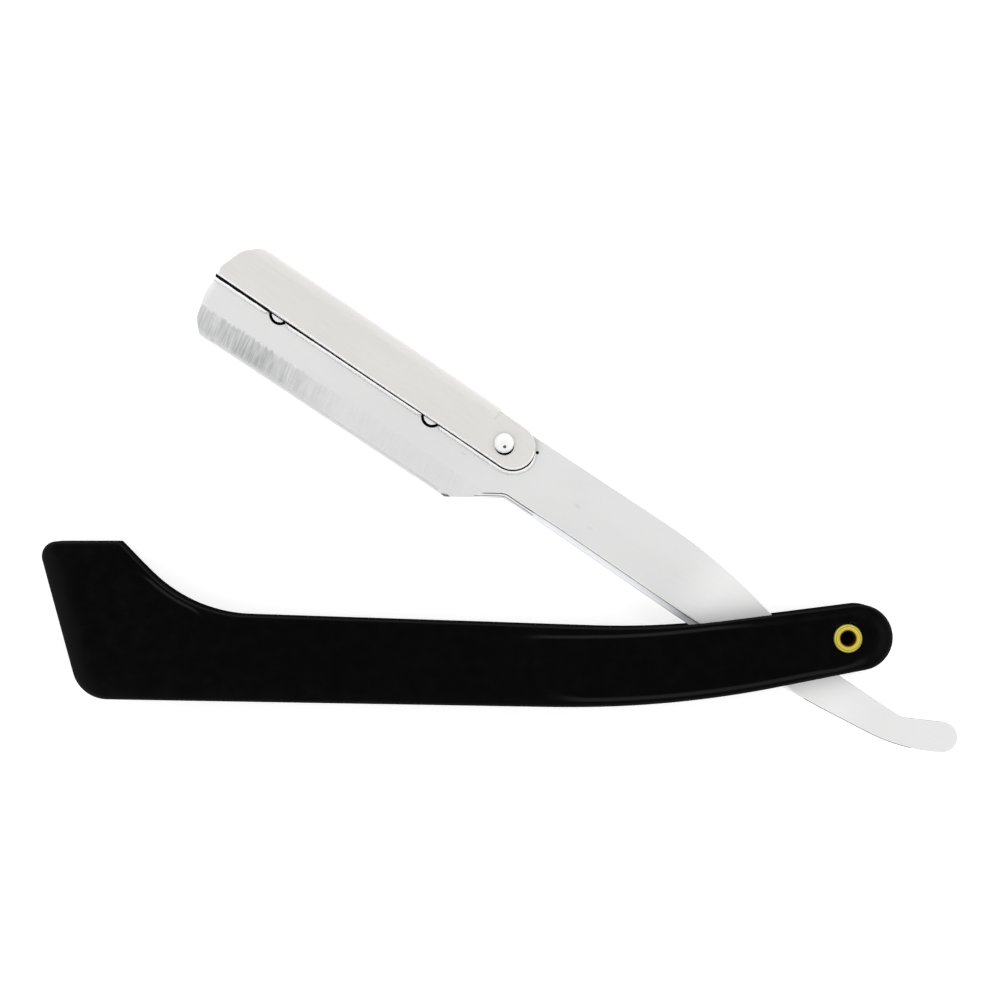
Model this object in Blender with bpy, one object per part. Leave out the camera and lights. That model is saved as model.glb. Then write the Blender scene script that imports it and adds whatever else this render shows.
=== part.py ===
# Folding razor for half blades, half opened and lying on the back cheek of its handle.
# Lengths are in metres. The origin is on the main pivot's axis, in the plane the razor rests on.
# -X runs from the pivot along the handle to its toe, +Y is the side the arm opens to, +Z is up.
import math

import bmesh
import bpy
from mathutils import Vector

MM = 0.001

# What all pieces share
SEAT_GAP = 0.3 * MM
PIN_CLEARANCE = 0.15 * MM
CUT_OVERRUN = 3.0 * MM
CHORD_TOLERANCE = 0.02 * MM
ROUND_STEPS = 32
DOME_STEPS = 5
SHARP_ANGLE = math.radians(35.0)

# Arm: one stamped sheet with the head, the shank, the pivot lobe and the tail.
# Reaches run along the arm from the pivot to the head, depths from the pivot's line to the edge.
ARM_ANGLE = math.radians(146.55)
ARM_SHEET = 1.2 * MM
TIP_REACH = 114.2 * MM
EDGE_DEPTH = 16.3 * MM
SPINE_DEPTH = 0.6 * MM
FOLD_SEAT_STEP = 0.1 * MM
TIP_CUT_LENGTH = 4.7 * MM
TIP_SHOULDER_SETBACK = 1.8 * MM
TIP_SHOULDER_DEPTH = 3.4 * MM
TIP_FACE_DEPTH = 9.4 * MM
TIP_NOSE_SETBACK = 1.3 * MM
TIP_NOSE_DEPTH = 14.3 * MM
TIP_CORNER_SETBACK = 3.0 * MM
TIP_ROUND = 3.0 * MM
TIP_FACE_ROUND = 6.0 * MM
TIP_CORNER_ROUND = 0.8 * MM
EDGE_RELIEF = 0.6 * MM
RELIEF_RAMP = 0.2 * MM
HEEL_CORNER_ROUND = 0.3 * MM
HEEL_RUN = 7.9 * MM
HEEL_ROUND = 2.0 * MM
SHANK_DEPTH = 11.3 * MM
SHANK_BELLY_REACH = 4.6 * MM
SHANK_BELLY_DEPTH = 12.2 * MM
SHANK_BELLY_ROUND = 150.0 * MM
TAIL_BEND_REACH = 17.0 * MM
TAIL_BEND_DEPTH = 9.95 * MM
TAIL_BEND_ROUND = 28.0 * MM
TAIL_TIP_REACH = 21.4 * MM
TAIL_TIP_DEPTH = 4.7 * MM
TAIL_TIP_ROUND = 2.4 * MM
TAIL_TOP_DEPTH = 5.55 * MM
TAIL_TOP_BEND_REACH = 14.4 * MM
TAIL_TOP_ROUND = 4.0 * MM
NECK_BACK_REACH = 1.6 * MM
NECK_BACK_ROUND = 0.8 * MM
NECK_FRONT_REACH = 8.5 * MM
NECK_FRONT_DEPTH = 4.1 * MM
NECK_FRONT_ROUND = 2.5 * MM
LOBE_RADIUS = 4.2 * MM
SPINE_BEND_REACH = 23.9 * MM
SPINE_BEND_ROUND = 88.0 * MM
FOLD_SEAT_ROOM = 0.7 * MM
LOWER_CHAMFER = 0.5 * MM
GRIND_WIDTH = 4.1 * MM
GRIND_EDGE_THICKNESS = 0.35 * MM

# Half blade and the two studs that place it on the back of the head
BLADE_LENGTH = 43.0 * MM
BLADE_WIDTH = 11.05 * MM
BLADE_SHEET = 0.1 * MM
BLADE_TIP_SETBACK = 4.85 * MM
BLADE_HEEL_SETBACK = 1.55 * MM
BLADE_END_PLAY = 0.35 * MM
NOTCH_SPACING = 28.9 * MM
NOTCH_RADIUS = 2.7 * MM
STUD_SHANK_RADIUS = 1.0 * MM
STUD_HEAD_RADIUS = 1.6 * MM
STUD_HEAD_HEIGHT = 0.3 * MM
STUD_CHAMFER = 0.1 * MM
STUD_PROUD = 0.05 * MM

# Clamp: a folded sheet that slips over the spine and swings on its rivet.
# Its fold leans a little against the arm's line, and its depths are taken at the rivet.
CLAMP_LEAN = math.radians(0.65)
CLAMP_SHEET = 0.8 * MM
CLAMP_TIP_INSET = 0.2 * MM
CLAMP_NOSE_LENGTH = 4.7 * MM
CLAMP_SHOULDER_SETBACK = 1.4 * MM
CLAMP_SHOULDER_DEPTH = 2.1 * MM
CLAMP_FACE_DEPTH = 5.9 * MM
CLAMP_CORNER_ROUND = 0.3 * MM
CLAMP_ROUND = 3.0 * MM
BACK_LEG_INSET = 1.9 * MM
BACK_LEG_CORNER_SETBACK = 1.8 * MM
BACK_LEG_FACE_RISE = 4.5 * MM
BACK_LEG_ROUND = 1.5 * MM
BACK_HEEL_SETBACK = 3.2 * MM
BACK_HEEL_RUN = 5.2 * MM
BACK_HEEL_RISE = 3.4 * MM
TAB_RADIUS = 3.6 * MM
TAB_CENTRE_SETBACK = 4.7 * MM
TAB_CENTRE_DEPTH = 3.97 * MM
TAB_TOP_DEPTH = 0.15 * MM
TAB_CORNER_ROUND = 0.3 * MM
FOLD_START_OFFSET = 0.2 * MM
RELIEF_SLIT = 0.15 * MM
RELIEF_DEPTH = 0.1 * MM
FOLD_STEPS = 8

# Rivet that the clamp swings on
CLAMP_RIVET_SETBACK = 3.2 * MM
CLAMP_RIVET_DEPTH = 4.1 * MM
CLAMP_RIVET_RADIUS = 1.0 * MM
CLAMP_RIVET_HEAD_RADIUS = 1.6 * MM
CLAMP_RIVET_DOME = 0.7 * MM
CLAMP_RIVET_BRIM = 0.2 * MM
CLAMP_RIVET_CLINCH = 0.35 * MM

# Main pivot: a half-hollow brass rivet, its closed head let into the back cheek
PIVOT_SHANK_RADIUS = 1.55 * MM
PIVOT_HEAD_RADIUS = 2.7 * MM
PIVOT_HEAD_HEIGHT = 0.7 * MM
PIVOT_HEAD_CHAMFER = 0.15 * MM
PIVOT_RIM_RADIUS = 2.23 * MM
PIVOT_BORE_RADIUS = 1.14 * MM
PIVOT_BORE_FLOOR = 2.6 * MM
PIVOT_RIM_PROUD = 0.45 * MM
PIVOT_RIM_TUCK = math.radians(45.0)
RECESS_CLEARANCE = 0.25 * MM
WASHER_RADIUS = 4.0 * MM

# Handle: one moulding of two cheeks joined by a web along the bottom and a wall round the toe
CHEEK = 2.0 * MM
SLOT_CLEARANCE = 0.5 * MM
HANDLE_EDGE_ROUND = 1.1 * MM
HANDLE_EDGE_STEPS = 3
WEB = 1.8 * MM
TOE_WALL = 2.0 * MM
FORK_LENGTH = 46.0 * MM
FORK_ROOT_ROUND = 0.6 * MM
END_RADIUS = 5.3 * MM
END_OFFSET = 1.7 * MM
TOE_OVERHANG = 12.4 * MM
TOE_HEIGHT = 15.15 * MM
TOE_DEPTH = 9.55 * MM
TOE_LEAN = 6.95 * MM
TOE_TOP_LENGTH = 12.5 * MM
TOE_TOP_ROUND = 1.8 * MM
TOE_BOTTOM_ROUND = 5.0 * MM
TOE_CREST_ROUND = 1.6 * MM
HOLLOW_LENGTH = 23.7 * MM
HOLLOW_HEIGHT = 3.85 * MM
HOLLOW_ROUND = 22.0 * MM
WAIST_REACH = 29.1 * MM
WAIST_HEIGHT = 1.4 * MM
WAIST_ROUND = 128.0 * MM
BELLY_REACH = 28.1 * MM
BELLY_DEPTH = 11.13 * MM
BELLY_ROUND = 165.0 * MM
BRIDGE_LENGTH = 8.0 * MM
BRIDGE_THICKNESS = 1.8 * MM
POCKET_ROUND = 2.0 * MM

# Heights above the rest plane, from the back cheek up through the stack
back_stack = ARM_SHEET / 2 + SEAT_GAP + BLADE_SHEET + SEAT_GAP + CLAMP_SHEET
slot_width = 2 * (back_stack + SLOT_CLEARANCE)
handle_thickness = 2 * CHEEK + slot_width
slot_floor = CHEEK
slot_roof = CHEEK + slot_width
arm_middle = handle_thickness / 2
arm_back = arm_middle - ARM_SHEET / 2
arm_front = arm_middle + ARM_SHEET / 2
blade_front = arm_back - SEAT_GAP
blade_back = blade_front - BLADE_SHEET
back_leg_front = blade_back - SEAT_GAP
back_leg_back = back_leg_front - CLAMP_SHEET
front_leg_back = arm_front + SEAT_GAP
front_leg_front = front_leg_back + CLAMP_SHEET

# Places on the arm
blade_tip_reach = TIP_REACH - BLADE_TIP_SETBACK
blade_heel_reach = blade_tip_reach - BLADE_LENGTH
heel_reach = blade_heel_reach - BLADE_HEEL_SETBACK
blade_middle = (blade_tip_reach + blade_heel_reach) / 2
blade_back_depth = EDGE_DEPTH - BLADE_WIDTH
stud_depth = blade_back_depth + NOTCH_RADIUS - STUD_SHANK_RADIUS - SEAT_GAP + STUD_PROUD
stud_reaches = {
    "tip": blade_middle + NOTCH_SPACING / 2,
    "heel": blade_middle - NOTCH_SPACING / 2,
}
clamp_rivet_reach = heel_reach - CLAMP_RIVET_SETBACK
spine_tip_reach = TIP_REACH - TIP_CUT_LENGTH
fold_start_reach = heel_reach + FOLD_START_OFFSET
fold_seat_reach = fold_start_reach - FOLD_SEAT_ROOM
fold_seat_tip_depth = SPINE_DEPTH + FOLD_SEAT_STEP
seat_slope = math.tan(CLAMP_LEAN)
fold_seat_depth = fold_seat_tip_depth + (spine_tip_reach - fold_seat_reach) * seat_slope
spine_depth_at_rivet = fold_seat_tip_depth + (spine_tip_reach - clamp_rivet_reach) * seat_slope

# The clamp's fold: its bend axis keeps the spine clear of the sheet's inner side
fold_radius = (front_leg_back + CLAMP_SHEET / 2 - back_leg_front + CLAMP_SHEET / 2) / 2
fold_height = (front_leg_back + back_leg_front) / 2
fold_inside = fold_radius - CLAMP_SHEET / 2
fold_room = math.sqrt(fold_inside**2 - (arm_front - fold_height) ** 2)
fold_depth = spine_depth_at_rivet - SEAT_GAP + fold_room
fold_half_girth = math.pi * fold_radius / 2


def corner(x, y, radius=0.0):
    return {"point": Vector((x, y)), "radius": radius, "knob": False}


def knob(x, y, radius):
    return {"point": Vector((x, y)), "radius": radius, "knob": True}


def arc(centre, radius, start, sweep):
    """Points on an arc, both ends included, close enough for the chord tolerance."""
    share = min(1.0, CHORD_TOLERANCE / radius)
    step = 2 * math.acos(1 - share)
    steps = max(2, math.ceil(abs(sweep) / step))
    points = []
    for i in range(steps + 1):
        angle = start + sweep * i / steps
        points.append(centre + radius * Vector((math.cos(angle), math.sin(angle))))
    return points


def tangent_point(outside, centre, radius, side):
    """Where the line from a point outside touches a circle: side 1 keeps the circle on its left."""
    to_centre = centre - outside
    heading = math.atan2(to_centre.y, to_centre.x) - side * math.asin(radius / to_centre.length)
    reach = math.sqrt(to_centre.length_squared - radius**2)
    return outside + reach * Vector((math.cos(heading), math.sin(heading)))


def turn_between(before, at, after):
    """Signed turn of a path at a corner, positive to the left."""
    come = at - before
    leave = after - at
    return math.atan2(come.x * leave.y - come.y * leave.x, come.dot(leave))


def outline(items):
    """Points round a shape, anticlockwise: corners get their fillets, knobs are wrapped from outside."""
    count = len(items)
    enter = []
    leave = []
    for i, item in enumerate(items):
        if item["knob"]:
            before = items[i - 1]["point"]
            after = items[(i + 1) % count]["point"]
            enter.append(tangent_point(before, item["point"], item["radius"], 1))
            leave.append(tangent_point(after, item["point"], item["radius"], -1))
        else:
            enter.append(item["point"])
            leave.append(item["point"])
    turns = []
    setbacks = []
    for i, item in enumerate(items):
        turn = turn_between(leave[i - 1], item["point"], enter[(i + 1) % count])
        turns.append(turn)
        setbacks.append(0.0 if item["knob"] else item["radius"] * abs(math.tan(turn / 2)))
    points = []
    for i, item in enumerate(items):
        if item["knob"]:
            first = enter[i] - item["point"]
            last = leave[i] - item["point"]
            start = math.atan2(first.y, first.x)
            sweep = (math.atan2(last.y, last.x) - start) % math.tau
            points += arc(item["point"], item["radius"], start, sweep)
            continue
        come = item["point"] - leave[i - 1]
        go = enter[(i + 1) % count] - item["point"]
        room_before = come.length / (setbacks[i] + setbacks[i - 1]) if setbacks[i] else 1.0
        room_after = go.length / (setbacks[i] + setbacks[(i + 1) % count]) if setbacks[i] else 1.0
        fit = min(1.0, room_before, room_after)
        if not setbacks[i]:
            points.append(item["point"])
            continue
        radius = item["radius"] * fit
        side = math.copysign(1.0, turns[i])
        inward = side * Vector((-come.y, come.x)).normalized()
        centre = item["point"] - come.normalized() * setbacks[i] * fit + inward * radius
        start = math.atan2(-inward.y, -inward.x)
        points += arc(centre, radius, start, turns[i])
    return without_doubles(points)


def without_doubles(points):
    kept = []
    for point in points:
        if not kept or (point - kept[-1]).length > CHORD_TOLERANCE:
            kept.append(point)
    while (kept[0] - kept[-1]).length <= CHORD_TOLERANCE:
        kept.pop()
    return kept


def inset_corner(before, at, after, wall_before, wall_after):
    """The corner of the inner side of two walls that meet at a corner of an anticlockwise shape."""
    come = (at - before).normalized()
    leave = (after - at).normalized()
    first = at + Vector((-come.y, come.x)) * wall_before
    second = at + Vector((-leave.y, leave.x)) * wall_after
    between = second - first
    cross = come.x * leave.y - come.y * leave.x
    return first + come * ((between.x * leave.y - between.y * leave.x) / cross)


def on_line(start, end, x):
    """The point of a line at a given x."""
    return start + (end - start) * ((x - start.x) / (end.x - start.x))


def prism(points, low, high):
    """A flat shape raised from one height to another."""
    shape = bmesh.new()
    rim = [shape.verts.new((point.x, point.y, low)) for point in points]
    face = shape.faces.new(rim)
    raised = bmesh.ops.extrude_face_region(shape, geom=[face])
    tops = [item for item in raised["geom"] if isinstance(item, bmesh.types.BMVert)]
    bmesh.ops.translate(shape, vec=(0.0, 0.0, high - low), verts=tops)
    bmesh.ops.recalc_face_normals(shape, faces=shape.faces)
    return shape


def turned(profile, x=0.0, y=0.0):
    """A profile of (radius, height) points turned round an upright axis.

    It starts and ends on the axis, or it is a closed ring."""
    solid = profile[0][0] == 0.0
    shape = bmesh.new()
    columns = []
    poles = {}
    for step in range(ROUND_STEPS):
        angle = math.tau * step / ROUND_STEPS
        column = []
        for i, (radius, height) in enumerate(profile):
            if radius == 0.0:
                if i not in poles:
                    poles[i] = shape.verts.new((x, y, height))
                column.append(poles[i])
                continue
            place = (x + radius * math.cos(angle), y + radius * math.sin(angle), height)
            column.append(shape.verts.new(place))
        columns.append(column)
    rows = len(profile) - 1 if solid else len(profile)
    for step in range(ROUND_STEPS):
        here = columns[step]
        there = columns[(step + 1) % ROUND_STEPS]
        for i in range(rows):
            following = (i + 1) % len(profile)
            ring = [here[i], there[i], there[following], here[following]]
            shape.faces.new(list(dict.fromkeys(ring)))
    bmesh.ops.recalc_face_normals(shape, faces=shape.faces)
    return shape


def rod(radius, low, high, x=0.0, y=0.0):
    return turned([(0.0, low), (radius, low), (radius, high), (0.0, high)], x, y)


def material(name, colour, metallic, roughness):
    made = bpy.data.materials.new(name)
    made.use_nodes = True
    made.diffuse_color = (*colour, 1.0)
    shader = made.node_tree.nodes["Principled BSDF"]
    shader.inputs["Base Color"].default_value = (*colour, 1.0)
    shader.inputs["Metallic"].default_value = metallic
    shader.inputs["Roughness"].default_value = roughness
    return made


def add_object(name, shape, finish=None, parent=None):
    mesh = bpy.data.meshes.new(name)
    shape.to_mesh(mesh)
    shape.free()
    mesh.shade_smooth()
    mesh.set_sharp_from_angle(angle=SHARP_ANGLE)
    made = bpy.data.objects.new(name, mesh)
    bpy.context.scene.collection.objects.link(made)
    made.parent = parent
    if finish:
        mesh.materials.append(finish)
    return made


def add_axis(name, place, angle, parent=None):
    made = bpy.data.objects.new(name, None)
    made.empty_display_type = "SINGLE_ARROW"
    made.location = place
    made.rotation_euler.z = angle
    made.parent = parent
    bpy.context.scene.collection.objects.link(made)
    return made


def cut(target, name, shape):
    cutter = add_object(name, shape, parent=target.parent)
    cutter.hide_render = True
    cutter.display_type = "WIRE"
    boolean = target.modifiers.new(name, "BOOLEAN")
    boolean.operation = "DIFFERENCE"
    boolean.solver = "EXACT"
    boolean.object = cutter


def handle_corners():
    toe = TIP_REACH + TOE_OVERHANG
    return {
        "toe_top": Vector((-toe, TOE_HEIGHT)),
        "toe_bottom": Vector((-toe + TOE_LEAN, -TOE_DEPTH)),
        "belly": Vector((-BELLY_REACH, -BELLY_DEPTH)),
        "waist": Vector((-WAIST_REACH, WAIST_HEIGHT)),
        "hollow": Vector((-toe + HOLLOW_LENGTH, HOLLOW_HEIGHT)),
        "crest": Vector((-toe + TOE_TOP_LENGTH, TOE_HEIGHT)),
    }


def slot_outline(at):
    """The room between the cheeks: open along the top, round the pivot end and under the fork."""
    past_end = END_OFFSET + END_RADIUS + CUT_OVERRUN
    above = TOE_HEIGHT + CUT_OVERRUN
    below = -BELLY_DEPTH - CUT_OVERRUN
    bridge_reach = at["toe_top"].x + BRIDGE_LENGTH
    floor_toe = inset_corner(at["toe_top"], at["toe_bottom"], at["belly"], TOE_WALL, WEB)
    roof_toe = inset_corner(at["crest"], at["toe_top"], at["toe_bottom"], BRIDGE_THICKNESS, TOE_WALL)
    floor_belly = inset_corner(at["toe_bottom"], at["belly"], at["waist"], WEB, WEB)
    floor_end = on_line(floor_toe, floor_belly, -FORK_LENGTH)
    return outline(
        [
            corner(floor_toe.x, floor_toe.y, POCKET_ROUND),
            corner(floor_end.x, floor_end.y, FORK_ROOT_ROUND),
            corner(floor_end.x, below),
            corner(past_end, below),
            corner(past_end, above),
            corner(bridge_reach, above),
            corner(bridge_reach, roof_toe.y, FORK_ROOT_ROUND),
            corner(roof_toe.x, roof_toe.y, POCKET_ROUND),
        ]
    )


def make_handle(finish):
    at = handle_corners()
    rounds = {
        "toe_top": TOE_TOP_ROUND,
        "toe_bottom": TOE_BOTTOM_ROUND,
        "belly": BELLY_ROUND,
        "waist": WAIST_ROUND,
        "hollow": HOLLOW_ROUND,
        "crest": TOE_CREST_ROUND,
    }
    items = [corner(*at[name], rounds[name]) for name in ("toe_top", "toe_bottom", "belly")]
    items.append(knob(END_OFFSET, 0.0, END_RADIUS))
    items += [corner(*at[name], rounds[name]) for name in ("waist", "hollow", "crest")]
    made = add_object("handle", prism(outline(items), 0.0, handle_thickness), finish)
    edge = made.modifiers.new("rounded edge", "BEVEL")
    edge.width = HANDLE_EDGE_ROUND
    edge.segments = HANDLE_EDGE_STEPS
    edge.limit_method = "ANGLE"
    edge.angle_limit = SHARP_ANGLE
    cut(made, "cut_slot", prism(slot_outline(at), slot_floor, slot_roof))
    bore = PIVOT_SHANK_RADIUS + PIN_CLEARANCE
    recess = PIVOT_HEAD_RADIUS + RECESS_CLEARANCE
    recess_floor = PIVOT_HEAD_HEIGHT + SEAT_GAP
    rim_recess = PIVOT_RIM_RADIUS + RECESS_CLEARANCE
    rim_floor = rim_underside() - SEAT_GAP
    above = handle_thickness + CUT_OVERRUN
    profile = [
        (0.0, -CUT_OVERRUN),
        (recess, -CUT_OVERRUN),
        (recess, recess_floor),
        (bore, recess_floor),
        (bore, rim_floor),
        (rim_recess, rim_floor),
        (rim_recess, above),
        (0.0, above),
    ]
    cut(made, "cut_pivot_seat", turned(profile))


def rim_section():
    """Radius and middle of the round section that the rivet's rolled rim has."""
    section = (PIVOT_RIM_RADIUS - PIVOT_BORE_RADIUS) / 2
    middle = Vector((PIVOT_BORE_RADIUS + section, handle_thickness + PIVOT_RIM_PROUD - section))
    return section, middle


def rim_underside():
    section, middle = rim_section()
    return middle.y - section * math.sin(PIVOT_RIM_TUCK)


def make_pivot_rivet(finish):
    section, middle = rim_section()
    rim = arc(middle, section, -PIVOT_RIM_TUCK, PIVOT_RIM_TUCK + math.pi)
    profile = [
        (0.0, 0.0),
        (PIVOT_HEAD_RADIUS - PIVOT_HEAD_CHAMFER, 0.0),
        (PIVOT_HEAD_RADIUS, PIVOT_HEAD_CHAMFER),
        (PIVOT_HEAD_RADIUS, PIVOT_HEAD_HEIGHT),
        (PIVOT_SHANK_RADIUS, PIVOT_HEAD_HEIGHT),
        (PIVOT_SHANK_RADIUS, rim_underside()),
    ]
    profile += [(point.x, point.y) for point in rim]
    profile += [(PIVOT_BORE_RADIUS, PIVOT_BORE_FLOOR), (0.0, PIVOT_BORE_FLOOR)]
    add_object("pivot_rivet", turned(profile), finish)


def make_pivot_washers(finish):
    bore = PIVOT_SHANK_RADIUS + PIN_CLEARANCE
    for name, low, high in (
        ("pivot_washer_back", slot_floor + SEAT_GAP, arm_back - SEAT_GAP),
        ("pivot_washer_front", arm_front + SEAT_GAP, slot_roof - SEAT_GAP),
    ):
        ring = [(bore, low), (WASHER_RADIUS, low), (WASHER_RADIUS, high), (bore, high)]
        add_object(name, turned(ring), finish)


def arm_outline():
    relief_depth = EDGE_DEPTH - EDGE_RELIEF
    relief_tip = blade_tip_reach + BLADE_END_PLAY
    relief_heel = blade_heel_reach - BLADE_END_PLAY
    heel_foot = heel_reach - HEEL_RUN
    return outline(
        [
            corner(fold_seat_reach, fold_seat_depth),
            corner(spine_tip_reach, fold_seat_tip_depth, TIP_ROUND),
            corner(TIP_REACH - TIP_SHOULDER_SETBACK, TIP_SHOULDER_DEPTH, TIP_ROUND),
            corner(TIP_REACH, TIP_FACE_DEPTH, TIP_FACE_ROUND),
            corner(TIP_REACH - TIP_NOSE_SETBACK, TIP_NOSE_DEPTH, TIP_ROUND),
            corner(TIP_REACH - TIP_CORNER_SETBACK, EDGE_DEPTH, TIP_CORNER_ROUND),
            corner(relief_tip + RELIEF_RAMP, EDGE_DEPTH),
            corner(relief_tip, relief_depth),
            corner(relief_heel, relief_depth),
            corner(relief_heel - RELIEF_RAMP, EDGE_DEPTH),
            corner(heel_reach, EDGE_DEPTH, HEEL_CORNER_ROUND),
            corner(heel_foot, SHANK_DEPTH, HEEL_ROUND),
            corner(SHANK_BELLY_REACH, SHANK_BELLY_DEPTH, SHANK_BELLY_ROUND),
            corner(-TAIL_BEND_REACH, TAIL_BEND_DEPTH, TAIL_BEND_ROUND),
            knob(-TAIL_TIP_REACH, TAIL_TIP_DEPTH, TAIL_TIP_ROUND),
            corner(-TAIL_TOP_BEND_REACH, TAIL_TOP_DEPTH, TAIL_TOP_ROUND),
            corner(-NECK_BACK_REACH, TAIL_TOP_DEPTH, NECK_BACK_ROUND),
            knob(0.0, 0.0, LOBE_RADIUS),
            corner(NECK_FRONT_REACH, NECK_FRONT_DEPTH, NECK_FRONT_ROUND),
            corner(SPINE_BEND_REACH, SPINE_DEPTH, SPINE_BEND_ROUND),
            corner(fold_seat_reach, SPINE_DEPTH),
        ]
    )


def chamfer_lower_edge(shape):
    """Chamfer the front of the lower edge, from the heel's corner to the tail's tip."""
    past_heel = heel_reach - HEEL_CORNER_ROUND
    edges = []
    for edge in shape.edges:
        ends = [vertex.co for vertex in edge.verts]
        on_front = all(math.isclose(end.z, arm_front, abs_tol=CHORD_TOLERANCE) for end in ends)
        along = all(-TAIL_TIP_REACH < end.x < past_heel for end in ends)
        lower = all(end.y > TAIL_TIP_DEPTH + TAIL_TIP_ROUND / 2 for end in ends)
        if on_front and along and lower:
            edges.append(edge)
    bmesh.ops.bevel(shape, geom=edges, offset=LOWER_CHAMFER, segments=1, affect="EDGES")


def grind_wedge():
    """What the grinding takes off the front of the head along its edge."""
    low = EDGE_DEPTH - GRIND_WIDTH
    slope = (ARM_SHEET - GRIND_EDGE_THICKNESS) / GRIND_WIDTH
    high = EDGE_DEPTH + CUT_OVERRUN
    section = [
        Vector((low, arm_front)),
        Vector((high, arm_front - slope * (high - low))),
        Vector((high, arm_front + CUT_OVERRUN)),
        Vector((low - CUT_OVERRUN, arm_front + CUT_OVERRUN)),
        Vector((low - CUT_OVERRUN, arm_front + slope * CUT_OVERRUN)),
    ]
    shape = prism(section, heel_reach - HEEL_RUN, TIP_REACH + CUT_OVERRUN)
    for vertex in shape.verts:
        vertex.co = vertex.co.zxy
    bmesh.ops.recalc_face_normals(shape, faces=shape.faces)
    return shape


def make_arm(finish, axis):
    shape = prism(arm_outline(), arm_back, arm_front)
    chamfer_lower_edge(shape)
    made = add_object("blade_arm", shape, finish, axis)
    low = arm_back - CUT_OVERRUN
    high = arm_front + CUT_OVERRUN
    cut(made, "cut_grind", grind_wedge())
    cut(made, "cut_arm_pivot", rod(PIVOT_SHANK_RADIUS + PIN_CLEARANCE, low, high))
    rivet_bore = rod(
        CLAMP_RIVET_RADIUS + PIN_CLEARANCE, low, high, clamp_rivet_reach, CLAMP_RIVET_DEPTH
    )
    cut(made, "cut_arm_rivet", rivet_bore)
    bore = STUD_SHANK_RADIUS + PIN_CLEARANCE
    recess = STUD_HEAD_RADIUS + PIN_CLEARANCE
    seat = arm_front - STUD_HEAD_HEIGHT - SEAT_GAP
    profile = [(0.0, low), (bore, low), (bore, seat), (recess, seat), (recess, high), (0.0, high)]
    for name, reach in stud_reaches.items():
        cut(made, "cut_stud_seat_" + name, turned(profile, reach, stud_depth))


def make_studs(finish, axis):
    foot = blade_back - STUD_PROUD
    neck = arm_front - STUD_HEAD_HEIGHT
    profile = [
        (0.0, foot),
        (STUD_SHANK_RADIUS - STUD_CHAMFER, foot),
        (STUD_SHANK_RADIUS, foot + STUD_CHAMFER),
        (STUD_SHANK_RADIUS, neck),
        (STUD_HEAD_RADIUS, neck),
        (STUD_HEAD_RADIUS, arm_front - STUD_CHAMFER),
        (STUD_HEAD_RADIUS - STUD_CHAMFER, arm_front),
        (0.0, arm_front),
    ]
    for name, reach in stud_reaches.items():
        add_object("blade_stud_" + name, turned(profile, reach, stud_depth), finish, axis)


def make_blade(finish, axis):
    points = [Vector((blade_heel_reach, blade_back_depth))]
    for name in ("heel", "tip"):
        centre = Vector((stud_reaches[name], blade_back_depth))
        points += arc(centre, NOTCH_RADIUS, math.pi, -math.pi)
    points += [
        Vector((blade_tip_reach, blade_back_depth)),
        Vector((blade_tip_reach, EDGE_DEPTH)),
        Vector((blade_heel_reach, EDGE_DEPTH)),
    ]
    add_object("razor_blade", prism(points, blade_back, blade_front), finish, axis)


def girth(depth):
    """How far from the fold's middle a point of a leg lies on the flat sheet."""
    return fold_half_girth + depth - fold_depth


def tab_items(side):
    """The tab that the rivet goes through, with the slit that lets it stay flat beside the fold."""
    tab_top_reach = fold_start_reach - RELIEF_SLIT
    slit = girth(fold_depth + RELIEF_DEPTH)
    items = [
        knob(heel_reach - TAB_CENTRE_SETBACK, side * girth(TAB_CENTRE_DEPTH), TAB_RADIUS),
        corner(tab_top_reach, side * girth(TAB_TOP_DEPTH), TAB_CORNER_ROUND),
        corner(tab_top_reach, side * slit),
        corner(fold_start_reach, side * slit),
    ]
    return items if side > 0 else items[::-1]


def clamp_blank():
    """The clamp's sheet before it is folded: front leg on the plus side, back leg on the minus side."""
    tip = TIP_REACH - CLAMP_TIP_INSET
    shoulder = tip - CLAMP_SHOULDER_SETBACK
    back_depth = EDGE_DEPTH - BACK_LEG_INSET
    heel_foot = heel_reach - BACK_HEEL_SETBACK
    items = [
        corner(tip - CLAMP_NOSE_LENGTH, 0.0),
        corner(shoulder, girth(CLAMP_SHOULDER_DEPTH), CLAMP_ROUND),
        corner(tip, girth(CLAMP_FACE_DEPTH), CLAMP_ROUND),
        corner(tip, girth(TAB_CENTRE_DEPTH + TAB_RADIUS), CLAMP_CORNER_ROUND),
    ]
    items += tab_items(1)
    items += tab_items(-1)
    items += [
        corner(heel_foot, -girth(back_depth - BACK_HEEL_RISE), BACK_LEG_ROUND),
        corner(heel_foot + BACK_HEEL_RUN, -girth(back_depth), BACK_LEG_ROUND),
        corner(tip - BACK_LEG_CORNER_SETBACK, -girth(back_depth), BACK_LEG_ROUND),
        corner(tip, -girth(back_depth - BACK_LEG_FACE_RISE), CLAMP_ROUND),
        corner(tip, -girth(CLAMP_FACE_DEPTH), CLAMP_ROUND),
        corner(shoulder, -girth(CLAMP_SHOULDER_DEPTH), CLAMP_ROUND),
    ]
    return outline(items)


def folded(reach, across):
    """Where a point of the flat sheet goes when the sheet is folded over the spine."""
    side = math.copysign(1.0, across)
    if reach < fold_start_reach or abs(across) >= fold_half_girth:
        depth = fold_depth + abs(across) - fold_half_girth
        return depth, fold_height + side * fold_radius
    angle = across / fold_radius
    depth = fold_depth - fold_radius * math.cos(angle)
    return depth, fold_height + fold_radius * math.sin(angle)


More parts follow.
